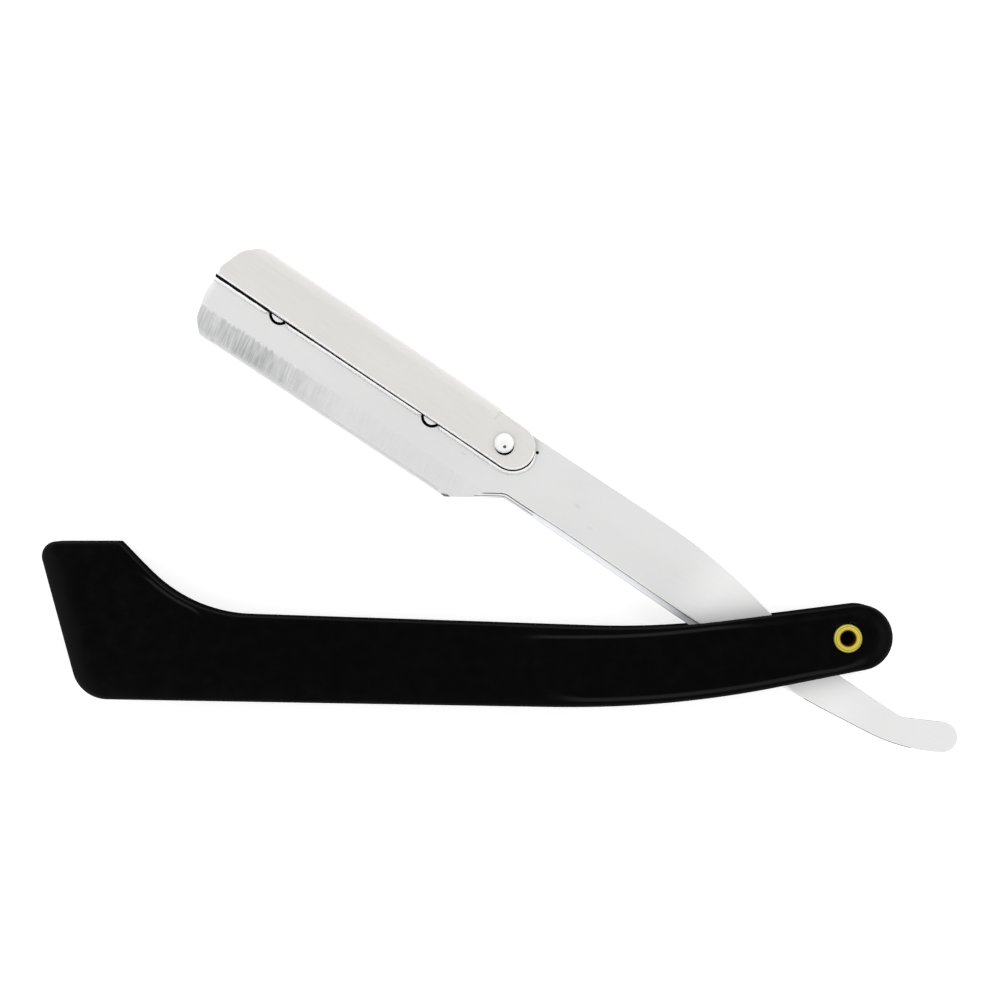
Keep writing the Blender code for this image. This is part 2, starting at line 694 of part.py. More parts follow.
def make_clamp(finish, axis):
    shape = bmesh.new()
    rim = [shape.verts.new((point.x, point.y, 0.0)) for point in clamp_blank()]
    shape.faces.new(rim)
    for step in range(FOLD_STEPS + 1):
        across = fold_half_girth * (2 * step / FOLD_STEPS - 1)
        bmesh.ops.bisect_plane(
            shape,
            geom=shape.verts[:] + shape.edges[:] + shape.faces[:],
            plane_co=(0.0, across, 0.0),
            plane_no=(0.0, 1.0, 0.0),
        )
    for vertex in shape.verts:
        depth, height = folded(vertex.co.x, vertex.co.y)
        vertex.co = (vertex.co.x - clamp_rivet_reach, depth - CLAMP_RIVET_DEPTH, height)
    made = add_object("blade_clamp", shape, finish, axis)
    sheet = made.modifiers.new("sheet", "SOLIDIFY")
    sheet.thickness = CLAMP_SHEET
    sheet.offset = 0.0
    sheet.use_even_offset = True
    low = back_leg_back - CUT_OVERRUN
    high = front_leg_front + CUT_OVERRUN
    cut(made, "cut_clamp_rivet", rod(CLAMP_RIVET_RADIUS + PIN_CLEARANCE, low, high))


def make_clamp_rivet(finish, axis):
    seat = front_leg_front + SEAT_GAP
    clinch = back_leg_back - SEAT_GAP
    brim = seat + CLAMP_RIVET_BRIM
    profile = [
        (0.0, clinch - CLAMP_RIVET_CLINCH),
        (CLAMP_RIVET_HEAD_RADIUS - CLAMP_RIVET_CLINCH, clinch - CLAMP_RIVET_CLINCH),
        (CLAMP_RIVET_HEAD_RADIUS, clinch),
        (CLAMP_RIVET_RADIUS, clinch),
        (CLAMP_RIVET_RADIUS, seat),
        (CLAMP_RIVET_HEAD_RADIUS, seat),
    ]
    for step in range(DOME_STEPS):
        angle = math.pi / 2 * step / DOME_STEPS
        radius = CLAMP_RIVET_HEAD_RADIUS * math.cos(angle)
        profile.append((radius, brim + CLAMP_RIVET_DOME * math.sin(angle)))
    profile.append((0.0, brim + CLAMP_RIVET_DOME))
    shape = turned(profile, clamp_rivet_reach, CLAMP_RIVET_DEPTH)
    add_object("clamp_rivet", shape, finish, axis)


def main():
    for old in list(bpy.data.objects):
        bpy.data.objects.remove(old)
    plastic = material("black moulded plastic", (0.012, 0.012, 0.013), 0.0, 0.22)
    sheet_steel = material("brushed sheet steel", (0.78, 0.78, 0.77), 1.0, 0.34)
    clamp_steel = material("satin clamp steel", (0.72, 0.71, 0.69), 1.0, 0.38)
    blade_steel = material("polished blade steel", (0.84, 0.85, 0.86), 1.0, 0.16)
    rivet_steel = material("bright rivet steel", (0.88, 0.88, 0.88), 1.0, 0.12)
    brass = material("yellow brass", (0.86, 0.64, 0.20), 1.0, 0.25)
    nylon = material("grey washer nylon", (0.45, 0.45, 0.44), 0.0, 0.5)
    make_handle(plastic)
    make_pivot_rivet(brass)
    make_pivot_washers(nylon)
    pivot = add_axis("pivot_axis", (0.0, 0.0, 0.0), ARM_ANGLE)
    make_arm(sheet_steel, pivot)
    make_studs(rivet_steel, pivot)
    make_blade(blade_steel, pivot)
    make_clamp_rivet(rivet_steel, pivot)
    clamp_place = (clamp_rivet_reach, CLAMP_RIVET_DEPTH, 0.0)
    swing = add_axis("clamp_axis", clamp_place, -CLAMP_LEAN, pivot)
    make_clamp(clamp_steel, swing)


main()
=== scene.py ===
import math

import bmesh
import bpy
from mathutils import Matrix, Vector


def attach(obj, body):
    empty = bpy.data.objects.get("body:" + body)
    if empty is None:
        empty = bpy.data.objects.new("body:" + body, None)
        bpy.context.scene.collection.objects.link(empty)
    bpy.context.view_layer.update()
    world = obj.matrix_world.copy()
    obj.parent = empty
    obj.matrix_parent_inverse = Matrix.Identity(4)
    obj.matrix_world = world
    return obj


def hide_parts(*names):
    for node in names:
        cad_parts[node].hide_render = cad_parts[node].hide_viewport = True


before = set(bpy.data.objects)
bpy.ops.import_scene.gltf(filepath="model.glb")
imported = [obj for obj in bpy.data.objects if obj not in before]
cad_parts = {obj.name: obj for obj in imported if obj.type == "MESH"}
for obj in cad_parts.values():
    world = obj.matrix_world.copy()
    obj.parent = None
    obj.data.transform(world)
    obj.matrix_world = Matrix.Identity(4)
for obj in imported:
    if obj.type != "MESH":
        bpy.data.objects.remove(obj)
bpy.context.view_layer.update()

mm = 0.001
scene = bpy.context.scene

# Sizes in the dictionaries are in millimetres and degrees, but the studio's floor and lamps are in metres.
# Along the arm a place is (reach from the pivot, depth towards the edge).
armPlace = {
    "turn": 146.55,
    "rivetReach": 61.6,
    "rivetDepth": 4.1,
    "clampLean": 0.65,
}
armTurn = Matrix.Rotation(math.radians(armPlace["turn"]), 4, "Z")
clampTurn = (
    armTurn
    @ Matrix.Translation((armPlace["rivetReach"] * mm, armPlace["rivetDepth"] * mm, 0.0))
    @ Matrix.Rotation(math.radians(-armPlace["clampLean"]), 4, "Z")
)


def onArm(reach, depth):
    return tuple(armTurn @ Vector((reach, depth, 0.0)))


rivetAt = onArm(armPlace["rivetReach"], armPlace["rivetDepth"])


def corner(x, y, radius=0.0):
    return {"at": Vector((x, y)), "radius": radius, "knob": False}


def knob(x, y, radius):
    return {"at": Vector((x, y)), "radius": radius, "knob": True}


def touchPoint(outside, centre, radius, side):
    # where a line from outside touches a circle
    toCentre = centre - outside
    heading = math.atan2(toCentre.y, toCentre.x) - side * math.asin(radius / toCentre.length)
    reach = math.sqrt(toCentre.length_squared - radius ** 2)
    return outside + reach * Vector((math.cos(heading), math.sin(heading)))


def leftOf(direction):
    return Vector((-direction.y, direction.x))


def stepsFor(radius, sweep, finest):
    byAngle = abs(math.degrees(sweep)) / finest["degrees"]
    byLength = radius * abs(sweep) / finest["length"]
    return max(2, math.ceil(max(byAngle, byLength)))


def planOutline(items, finest):
    # rounds that fit their corners, each with its own fixed number of steps,
    # so that rings at different insets have the same number of points
    count = len(items)
    enter = []
    leave = []
    for i, item in enumerate(items):
        if item["knob"]:
            before = items[i - 1]["at"]
            after = items[(i + 1) % count]["at"]
            enter.append(touchPoint(before, item["at"], item["radius"], 1))
            leave.append(touchPoint(after, item["at"], item["radius"], -1))
        else:
            enter.append(item["at"])
            leave.append(item["at"])
    comes = []
    goes = []
    turns = []
    setbacks = []
    for i, item in enumerate(items):
        come = item["at"] - leave[i - 1]
        go = enter[(i + 1) % count] - item["at"]
        turn = math.atan2(come.x * go.y - come.y * go.x, come.dot(go))
        comes.append(come)
        goes.append(go)
        turns.append(turn)
        setbacks.append(0.0 if item["knob"] else item["radius"] * abs(math.tan(turn / 2)))
    plan = []
    for i, item in enumerate(items):
        if item["knob"]:
            first = enter[i] - item["at"]
            last = leave[i] - item["at"]
            start = math.atan2(first.y, first.x)
            sweep = (math.atan2(last.y, last.x) - start) % math.tau
            steps = stepsFor(item["radius"], sweep, finest)
            plan.append({**item, "start": start, "sweep": sweep, "steps": steps})
            continue
        radius = item["radius"]
        if setbacks[i]:
            roomBefore = comes[i].length / (setbacks[i] + setbacks[i - 1])
            roomAfter = goes[i].length / (setbacks[i] + setbacks[(i + 1) % count])
            radius *= min(1.0, roomBefore, roomAfter)
        plan.append({
            **item,
            "radius": radius,
            "come": comes[i].normalized(),
            "go": goes[i].normalized(),
            "turn": turns[i],
            "steps": stepsFor(radius, turns[i], finest) if radius else 0,
        })
    for part in plan:
        part["stops"] = 1
    rounds = roundsAt(plan, 0.0)
    for i, part in enumerate(plan):
        run = (rounds[(i + 1) % count][0] - rounds[i][-1]).length
        part["stops"] = max(1, math.ceil(run / finest["straight"]))
    return plan


def roundsAt(plan, inset):
    smallestRound = 0.03
    rounds = []
    for part in plan:
        if part["knob"]:
            centre = part["at"]
            radius = part["radius"] - inset
            start = part["start"]
            sweep = part["sweep"]
        else:
            leftCome = leftOf(part["come"])
            leftGo = leftOf(part["go"])
            shifted = part["at"] + (leftCome + leftGo) * inset / (1 + leftCome.dot(leftGo))
            if not part["steps"]:
                rounds.append([shifted])
                continue
            side = math.copysign(1.0, part["turn"])
            radius = max(part["radius"] - side * inset, smallestRound)
            setback = radius * abs(math.tan(part["turn"] / 2))
            centre = shifted - part["come"] * setback + leftCome * side * radius
            start = math.atan2(-side * leftCome.y, -side * leftCome.x)
            sweep = part["turn"]
        points = []
        for step in range(part["steps"] + 1):
            angle = start + sweep * step / part["steps"]
            points.append(centre + radius * Vector((math.cos(angle), math.sin(angle))))
        rounds.append(points)
    return rounds


def ringAt(plan, inset=0.0):
    # the whole ring, with stops along its straight runs
    rounds = roundsAt(plan, inset)
    ring = []
    for i, part in enumerate(plan):
        ring += rounds[i]
        last = rounds[i][-1]
        following = rounds[(i + 1) % len(plan)][0]
        for stop in range(1, part["stops"]):
            ring.append(last.lerp(following, stop / part["stops"]))
    return ring


def insetCorner(before, at, after, wallBefore, wallAfter):
    come = (at - before).normalized()
    go = (after - at).normalized()
    first = at + leftOf(come) * wallBefore
    second = at + leftOf(go) * wallAfter
    between = second - first
    cross = come.x * go.y - come.y * go.x
    return first + come * ((between.x * go.y - between.y * go.x) / cross)


def asShare(value):
    return min(1.0, max(0.0, value))


def loft(rings, rowSlots=None):
    # rings of (x, y, z) in millimetres from the bottom up, closed by a flat face at each end
    shape = bmesh.new()
    rows = [[shape.verts.new(Vector(point) * mm) for point in ring] for ring in rings]
    count = len(rows[0])
    shape.faces.new(rows[0][::-1])
    for row, (low, high) in enumerate(zip(rows, rows[1:])):
        for i in range(count):
            j = (i + 1) % count
            face = shape.faces.new([low[i], low[j], high[j], high[i]])
            face.material_index = rowSlots[row] if rowSlots else 0
    shape.faces.new(rows[-1])
    return shape


def raised(points, low, high):
    return loft([[(p.x, p.y, low) for p in points], [(p.x, p.y, high) for p in points]])


def turned(profile, steps, x=0.0, y=0.0):
    # (radius, height) pairs that start and end on the axis
    shape = bmesh.new()
    columns = []
    poles = [shape.verts.new(Vector((x, y, profile[i][1])) * mm) for i in (0, -1)]
    for step in range(steps):
        angle = math.tau * step / steps
        column = [poles[0]]
        for radius, height in profile[1:-1]:
            place = (x + radius * math.cos(angle), y + radius * math.sin(angle), height)
            column.append(shape.verts.new(Vector(place) * mm))
        columns.append(column + [poles[1]])
    for step in range(steps):
        here = columns[step]
        there = columns[(step + 1) % steps]
        for i in range(len(profile) - 1):
            ring = [here[i], there[i], there[i + 1], here[i + 1]]
            shape.faces.new(list(dict.fromkeys(ring)))
    bmesh.ops.recalc_face_normals(shape, faces=shape.faces)
    return shape


def pin(radius, low, high, steps, x=0.0, y=0.0):
    # an upright cylinder
    return turned([(0.0, low), (radius, low), (radius, high), (0.0, high)], steps, x, y)


def linked(name, data):
    made = bpy.data.objects.new(name, data)
    scene.collection.objects.link(made)
    return made


def asPiece(name, shape, place=None, finishes=()):
    mesh = bpy.data.meshes.new(name)
    for finish in finishes:
        mesh.materials.append(finish)
    shape.to_mesh(mesh)
    shape.free()
    if place:
        mesh.transform(place)
    return linked(name, mesh)


def carve(piece, cutterShape, place=None, slot=0):
    # the cut's new faces take the finish of the given slot
    for face in cutterShape.faces:
        face.material_index = slot
    cutter = asPiece(piece.name + "Cutter", cutterShape, place, piece.data.materials)
    cutter.hide_render = True
    boolean = piece.modifiers.new("carve", "BOOLEAN")
    boolean.operation = "DIFFERENCE"
    boolean.solver = "EXACT"
    boolean.object = cutter


def soften(piece, width, sharperThan):
    # a small round on every edge that the tool left sharp
    edge = piece.modifiers.new("soften", "BEVEL")
    edge.width = width * mm
    edge.segments = 2
    edge.limit_method = "ANGLE"
    edge.angle_limit = math.radians(sharperThan)


def evenShading(piece):
    # large flat faces stay flat beside their small rounds
    piece.data.shade_smooth()
    even = piece.modifiers.new("evenShading", "WEIGHTED_NORMAL")
    even.mode = "FACE_AREA"
    even.weight = 100


def settle(piece):
    # turns the modifiers into the piece's own mesh and clears the cutters away
    cutters = [m.object for m in piece.modifiers if m.type == "BOOLEAN"]
    bpy.context.view_layer.update()
    evaluated = piece.evaluated_get(bpy.context.evaluated_depsgraph_get())
    mesh = bpy.data.meshes.new_from_object(evaluated)
    old = piece.data
    piece.modifiers.clear()
    piece.data = mesh
    bpy.data.meshes.remove(old)
    mesh.name = piece.name
    for cutter in cutters:
        bpy.data.objects.remove(cutter)


def startFinish(name, colour, metallic, roughness):
    finish = bpy.data.materials.new(name)
    finish.use_nodes = True
    finish.diffuse_color = (*colour, 1.0)
    shader = finish.node_tree.nodes["Principled BSDF"]
    shader.inputs["Base Color"].default_value = (*colour, 1.0)
    shader.inputs["Metallic"].default_value = metallic
    shader.inputs["Roughness"].default_value = roughness
    return finish, finish.node_tree, shader


def put(tree, kind, inputs=None, **settings):
    made = tree.nodes.new(kind)
    for key, value in settings.items():
        setattr(made, key, value)
    for key, value in (inputs or {}).items():
        if isinstance(value, bpy.types.NodeSocket):
            tree.links.new(value, made.inputs[key])
        else:
            made.inputs[key].default_value = value
    return made


def maths(tree, operation, first, second=0.0):
    return put(tree, "ShaderNodeMath", {0: first, 1: second}, operation=operation).outputs[0]


def plus(tree, first, second):
    return maths(tree, "ADD", first, second)


def times(tree, first, *others):
    for other in others:
        first = maths(tree, "MULTIPLY", first, other)
    return first


def split(tree, vector):
    return put(tree, "ShaderNodeSeparateXYZ", {0: vector}).outputs


def shade(colour, factor):
    return [c * factor for c in colour]


def objectCoords(tree):
    return put(tree, "ShaderNodeTexCoord").outputs["Object"]


def alongArm(tree):
    # object coordinates turned so that x runs out along the arm and y towards its edge
    turn = (0.0, 0.0, -math.radians(armPlace["turn"]))
    return put(tree, "ShaderNodeMapping", {"Vector": objectCoords(tree), "Rotation": turn}).outputs[0]


def stretched(tree, vector, factors):
    inputs = {0: vector, 1: factors}
    return put(tree, "ShaderNodeVectorMath", inputs, operation="MULTIPLY").outputs[0]


def noise(tree, vector, scale, detail, roughness=0.5):
    inputs = {"Vector": vector, "Scale": scale, "Detail": detail, "Roughness": roughness}
    return put(tree, "ShaderNodeTexNoise", inputs).outputs["Fac"]


def streaks(tree, vector, factors, detail, roughness=0.5):
    # noise that is finest along the axis with the largest factor
    return noise(tree, stretched(tree, vector, factors), 1.0, detail, roughness)


def ranged(tree, value, low, high, outLow=0.0, outHigh=1.0, smooth=False):
    inputs = {"Value": value, "From Min": low, "From Max": high, "To Min": outLow, "To Max": outHigh}
    kind = "SMOOTHSTEP" if smooth else "LINEAR"
    return put(tree, "ShaderNodeMapRange", inputs, interpolation_type=kind, clamp=True).outputs[0]


def faded(tree, along, start, end, before=0.0, after=1.0, smooth=False):
    # between two places along a coordinate, in millimetres
    return ranged(tree, along, start * mm, end * mm, before, after, smooth)


def graded(tree, grain, low=0.0, high=1.0):
    # most of a noise's values spread from low to high
    return ranged(tree, grain, 0.3, 0.7, low, high)


def mixed(tree, factor, first, second):
    made = put(tree, "ShaderNodeMix", data_type="RGBA")
    for socket, value in ((made.inputs[0], factor), (made.inputs[6], first), (made.inputs[7], second)):
        if isinstance(value, bpy.types.NodeSocket):
            tree.links.new(value, socket)
        else:
            socket.default_value = value if isinstance(value, float) else (*value, 1.0)
    return made.outputs[2]


def distanceFrom(tree, vector, place, stretch=(1.0, 1.0, 0.0)):
    # in the plane, from a place in millimetres
    inputs = {0: vector, 1: (place[0] * mm, place[1] * mm, 0.0)}
    away = put(tree, "ShaderNodeVectorMath", inputs, operation="SUBTRACT").outputs[0]
    flat = stretched(tree, away, stretch)
    return put(tree, "ShaderNodeVectorMath", {0: flat}, operation="LENGTH").outputs["Value"]


def bumped(tree, shader, height, distance):
    inputs = {"Height": height, "Distance": distance * mm, "Strength": 1.0}
    normal = put(tree, "ShaderNodeBump", inputs).outputs[0]
    tree.links.new(normal, shader.inputs["Normal"])


def dressed(tree, shader, colour, roughness, relief, depth):
    tree.links.new(colour, shader.inputs["Base Color"])
    tree.links.new(roughness, shader.inputs["Roughness"])
    bumped(tree, shader, relief, depth)


handle = {
    "thickness": 9.2,
    # corners of the outline: (x, y, round)
    "toeTop": (-126.6, 15.15, 2.3),
    "toeBottom": (-119.9, -9.47, 5.6),
    "belly": (-28.1, -11.06, 165.0),
    "end": (1.9, 0.12, 5.15),
    "waist": (-29.1, 1.4, 128.0),
    "hollow": (-102.9, 3.85, 22.0),
    "crest": (-113.8, 15.15, 0.5),
    "slotFloor": 2.0,
    "slotRoof": 7.2,
    "web": 1.8,
    "toeWall": 2.0,
    "bridgeLength": 8.0,
    "bridgeThickness": 1.8,
    "pocketRound": 2.0,
    "forkLength": 46.0,
    "forkRootRound": 0.6,
    # (inset, drop) pairs of the soft shoulder round the toe and along the middle
    "softShoulder": (
        (0.0, 0.9), (0.02, 0.66), (0.05, 0.48), (0.1, 0.36), (0.18, 0.29), (0.35, 0.24), (0.7, 0.195),
        (1.05, 0.155), (1.4, 0.12), (1.8, 0.086), (2.2, 0.058), (2.6, 0.036), (3.0, 0.019), (3.5, 0.007),
        (4.0, 0.0), (4.6, 0.0),
    ),
    # (x, share of those drops)
    "toeFullness": ((-121.0, 0.75), (-114.0, 0.6), (-106.0, 0.5)),
    # (x, y) stops of the line that parts the top from the bottom
    "midline": ((-28.0, -4.0), (0.0, 0.0)),
    # a raised line runs inside the edge: (x, inset) and (x, strength) stops along the top and the bottom
    "lineInsetAbove": (
        (-106.0, 0.8), (-90.0, 0.8), (-60.0, 1.8), (-45.0, 1.75), (-29.0, 1.1), (-14.0, 0.65), (0.0, 0.85),
    ),
    "lineShareAbove": (
        (-112.5, 0.0), (-108.0, 1.0), (-102.5, 1.0), (-98.0, 0.0), (-58.0, 0.0), (-45.0, 1.0), (-24.0, 1.0),
        (-14.0, 0.55), (1.0, 0.55), (4.0, 0.38),
    ),
    "lineInsetBelow": ((-45.0, 1.2), (-5.0, 1.1), (0.0, 0.85)),
    "lineShareBelow": ((-50.0, 0.0), (-40.0, 1.0), (-2.0, 1.0), (4.0, 0.38)),
    "lineWidth": 0.75,
    # (share of the inset, drop) outside the line and (share of half its width, drop) across it
    "lineOuter": ((0.0, 0.8), (0.015, 0.58), (0.04, 0.42), (0.08, 0.31), (0.14, 0.245), (0.24, 0.215)),
    "lineStep": (
        (-1.0, 0.185), (-0.64, 0.165), (-0.32, 0.13), (0.0, 0.085), (0.32, 0.045), (0.64, 0.018),
        (1.0, 0.004),
    ),
    "bandSlope": 0.02,
    # how far, y where it starts and is full, and the x that the toe lies beyond
    "backLean": (0.4, 4.0, 12.0, -120.0),
    "edgeRound": 0.12,
    "rivetBore": 1.7,
    # radius and floor of the rivet's seats
    "backSeat": (2.95, 1.0),
    "frontSeat": (2.48, 8.42),
}
outlineSteps = {"degrees": 3.0, "length": 1.6, "straight": 2.5}


def handleItems():
    names = ("toeTop", "toeBottom", "belly", "end", "waist", "hollow", "crest")
    return [(knob if name == "end" else corner)(*handle[name]) for name in names]


def alongStops(stops, x):
    # the value at x between (x, value) stops
    if x <= stops[0][0]:
        return stops[0][1]
    for (startX, startValue), (endX, endValue) in zip(stops, stops[1:]):
        if x <= endX:
            return startValue + (endValue - startValue) * (x - startX) / (endX - startX)
    return stops[-1][1]


def lineShoulder(inset):
    # (inset, drop) pairs of a quick edge, a nearly level band and a small step whose middle is at the inset
    half = min(handle["lineWidth"] / 2, 0.4 * inset)
    bandDrop = handle["lineStep"][0][1] + handle["bandSlope"] * (0.5 * inset - half)
    pairs = [(share * inset, drop) for share, drop in (*handle["lineOuter"], (0.5, bandDrop))]
    pairs += [(inset + share * half, drop) for share, drop in handle["lineStep"]]
    inner = inset + 1.6 * half
    return pairs + [(inner, 0.0), (inner + 0.5, 0.0)]


def shoulderRings():
    # the rings of one cheek from its rim inwards, as (x, y, drop)
    plan = planOutline(handleItems(), outlineSteps)
    spacing = 0.1
    deepest = 4.9
    levels = [ringAt(plan, spacing * k) for k in range(round(deepest / spacing) + 1)]

    def insetPoint(i, inset):
        level = int(inset / spacing)
        return levels[level][i].lerp(levels[level + 1][i], inset / spacing - level)

    columns = []
    for i, rim in enumerate(levels[0]):
        side = "Above" if rim.y > alongStops(handle["midline"], rim.x) else "Below"
        share = alongStops(handle["lineShare" + side], rim.x)
        share = share * share * (3 - 2 * share)
        fullness = alongStops(handle["toeFullness"], rim.x)
        lined = lineShoulder(alongStops(handle["lineInset" + side], rim.x))
        column = []
        for soft, line in zip(handle["softShoulder"], lined):
            place = insetPoint(i, soft[0]).lerp(insetPoint(i, line[0]), share)
            column.append((place.x, place.y, soft[1] * fullness * (1 - share) + line[1] * share))
        columns.append(column)
    return [list(ring) for ring in zip(*columns)]


def leaned(x, y):
    # the back cheek stops a little short of the front one at the crest
    lean, start, full, toeX = handle["backLean"]
    return x - lean * asShare((y - start) / (full - start)) if x > toeX else x


def slotItems():
    at = {name: Vector(handle[name][:2]) for name in ("toeTop", "toeBottom", "belly", "waist", "crest")}
    wall = handle["toeWall"]
    web = handle["web"]
    floorToe = insetCorner(at["toeTop"], at["toeBottom"], at["belly"], wall, web)
    roofToe = insetCorner(at["crest"], at["toeTop"], at["toeBottom"], handle["bridgeThickness"], wall)
    floorBelly = insetCorner(at["toeBottom"], at["belly"], at["waist"], web, web)
    slope = (floorBelly.y - floorToe.y) / (floorBelly.x - floorToe.x)
    forkX = -handle["forkLength"]
    forkY = floorToe.y + (forkX - floorToe.x) * slope
    bridge = handle["toeTop"][0] + handle["bridgeLength"]
    past = 10.0
    above = 18.0
    below = -14.0
    return [
        corner(floorToe.x, floorToe.y, handle["pocketRound"]),
        corner(forkX, forkY, handle["forkRootRound"]),
        corner(forkX, below),
        corner(past, below),
        corner(past, above),
        corner(bridge, above),
        corner(bridge, roofToe.y, handle["forkRootRound"]),
        corner(roofToe.x, roofToe.y, handle["pocketRound"]),
    ]


moulding = {
    "darkest": (0.0004, 0.0004, 0.0005),
    "lightest": (0.0013, 0.0013, 0.0014),
    "gloss": 0.14,  # specular level
    "roughness": (0.15, 0.23),
    "dust": (0.09, 0.09, 0.09),
    # cells in a metre, share of them without a dot, and where a dot starts to fade and ends
    "dustCells": 210.0,
    "dustFree": 0.965,
    "dustSize": (0.03, 0.055),
    # lighter than the face: painted sheen of the flanks
    "flank": (0.0095, 0.0095, 0.01),
}


def blackMoulding():
    finish, tree, shader = startFinish("blackGlossMoulding", moulding["lightest"], 0.0, 0.2)
    shader.inputs["Specular IOR Level"].default_value = moulding["gloss"]
    place = objectCoords(tree)
    cloud = noise(tree, place, 55.0, 3.0)
    handled = noise(tree, place, 420.0, 4.0, 0.6)
    skin = noise(tree, place, 2600.0, 2.0)
    # light dust and rub marks of use, a few dots only
    cells = put(tree, "ShaderNodeTexVoronoi", {"Vector": place, "Scale": moulding["dustCells"]})
    chance = put(tree, "ShaderNodeSeparateColor", {0: cells.outputs["Color"]}).outputs[0]
    lucky = maths(tree, "GREATER_THAN", chance, moulding["dustFree"])
    dot = ranged(tree, cells.outputs["Distance"], *moulding["dustSize"], 1.0, 0.0)
    dust = times(tree, dot, lucky)
    base = mixed(tree, cloud, moulding["darkest"], moulding["lightest"])
    dusty = mixed(tree, times(tree, dust, 0.5), base, moulding["dust"])
    smooth, dull = moulding["roughness"]
    gloss = plus(tree, ranged(tree, handled, 0.35, 0.7, smooth, dull), times(tree, dust, 0.3))
    relief = plus(tree, times(tree, skin, 0.12), times(tree, cloud, 1.2))
    dressed(tree, shader, dusty, gloss, relief, 0.012)
    return finish


def dullFlankMoulding():
    # flanks and slot, unpolished and with no specular; their base, lighter than the face's, is a painted
    # sheen in place of the reflection
    finish, tree, shader = startFinish("dullFlankMoulding", moulding["flank"], 0.0, 0.6)
    shader.inputs["Specular IOR Level"].default_value = 0.0
    place = objectCoords(tree)
    cloud = noise(tree, place, 160.0, 3.0)
    drag = streaks(tree, place, (900.0, 900.0, 120.0), 2.0)
    both = times(tree, plus(tree, cloud, drag), 0.5)
    tone = mixed(tree, both, shade(moulding["flank"], 0.6), shade(moulding["flank"], 1.4))
    tree.links.new(tone, shader.inputs["Base Color"])
    bumped(tree, shader, drag, 0.02)
    return finish


def makeHandle():
    top = handle["thickness"]
    rings = shoulderRings()
    back = [[(leaned(x, y), y, drop) for x, y, drop in ring] for ring in rings]
    front = [[(x, y, top - drop) for x, y, drop in ring] for ring in rings]
    shiny, flank = range(2)
    steep = 3  # rows next to the flank that keep its finish
    face = [shiny] * (len(rings) - 1 - steep)
    shape = loft(back[::-1] + front, face + [flank] * (2 * steep + 1) + face)
    piece = asPiece("handleMoulding", shape, None, [blackMoulding(), dullFlankMoulding()])
    slot = ringAt(planOutline(slotItems(), outlineSteps))
    carve(piece, raised(slot, handle["slotFloor"], handle["slotRoof"]), None, flank)
    bore = handle["rivetBore"]
    backRadius, backFloor = handle["backSeat"]
    frontRadius, frontFloor = handle["frontSeat"]
    under = -3.0
    over = 12.0
    seats = [(0.0, under), (backRadius, under), (backRadius, backFloor), (bore, backFloor)]
    seats += [(bore, frontFloor), (frontRadius, frontFloor), (frontRadius, over), (0.0, over)]
    carve(piece, turned(seats, 96), None, flank)
    soften(piece, handle["edgeRound"], sharperThan=52.0)
    evenShading(piece)
    settle(piece)
    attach(piece, "handle")
    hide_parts("handle")


makeHandle()
print("handle moulded")


plateFinish = {
    "name": "satinPlateSteel",
    "colour": (0.825, 0.829, 0.823),
    "roughness": 0.62,
    "grain": 0.03,
    # lighter over some reaches: reach where that starts and is full, and gain; on the plate these are
    # painted light beside the handle and on the tail, making up for the handle's shade
    "lighterReaches": ((29.0, 20.0, 1.14), (-4.0, -12.0, 1.065)),
    "ground": {
        # depths where the band starts and is full
        "band": (11.85, 12.5),
        "ragged": 0.3,
        "slant": 10.0,
        # (start, end) and the shares there, from 0 to 1 where none are given
        "reachFades": ((59.0, 64.0), (86.0, 102.0, 0.14, 1.0), (103.5, 112.0, 1.0, 0.68)),
        "depthFades": ((12.4, 14.8, 0.85, 1.08), (15.3, 16.1, 1.0, 0.2)),
        "tone": (0.46, 0.47, 0.47),
        "strength": (0.28, 1.0),
        # the painted highlight along the line where it starts: depth, half width and strength, and reaches
        # of its heel end
        "shoulder": (11.87, 0.1, 0.75),
        "shoulderHighlightEnd": (90.0, 100.0),
        # reaches and shares of the tip painted towards white, a painted highlight
        "paintedTipHighlight": (112.7, 114.1, 0.0, 0.6),
        # stains, then a dark dash at the heel corner that is painted shade of the step there: reach, depth,
        # radius, strength and tone
        "markStretch": (0.6, 1.4, 0.0),
        "marks": (
            (46.5, 6.0, 0.6, 0.2, 0.42),
            (42.9, 7.85, 0.45, 0.2, 0.42),
            (66.0, 9.0, 0.5, 0.14, 0.42),
            (65.05, 16.12, 0.42, 0.95, 0.02),
            (64.5, 15.92, 0.42, 0.95, 0.02),
        ),
    },
}
coverFinish = {
    "name": "satinCoverSteel",
    "colour": (0.811, 0.799, 0.777),
    "roughness": 0.7,
    "grain": 0.02,
    "lighterReaches": ((68.0, 60.0, 1.01),),
    "ground": None,
}


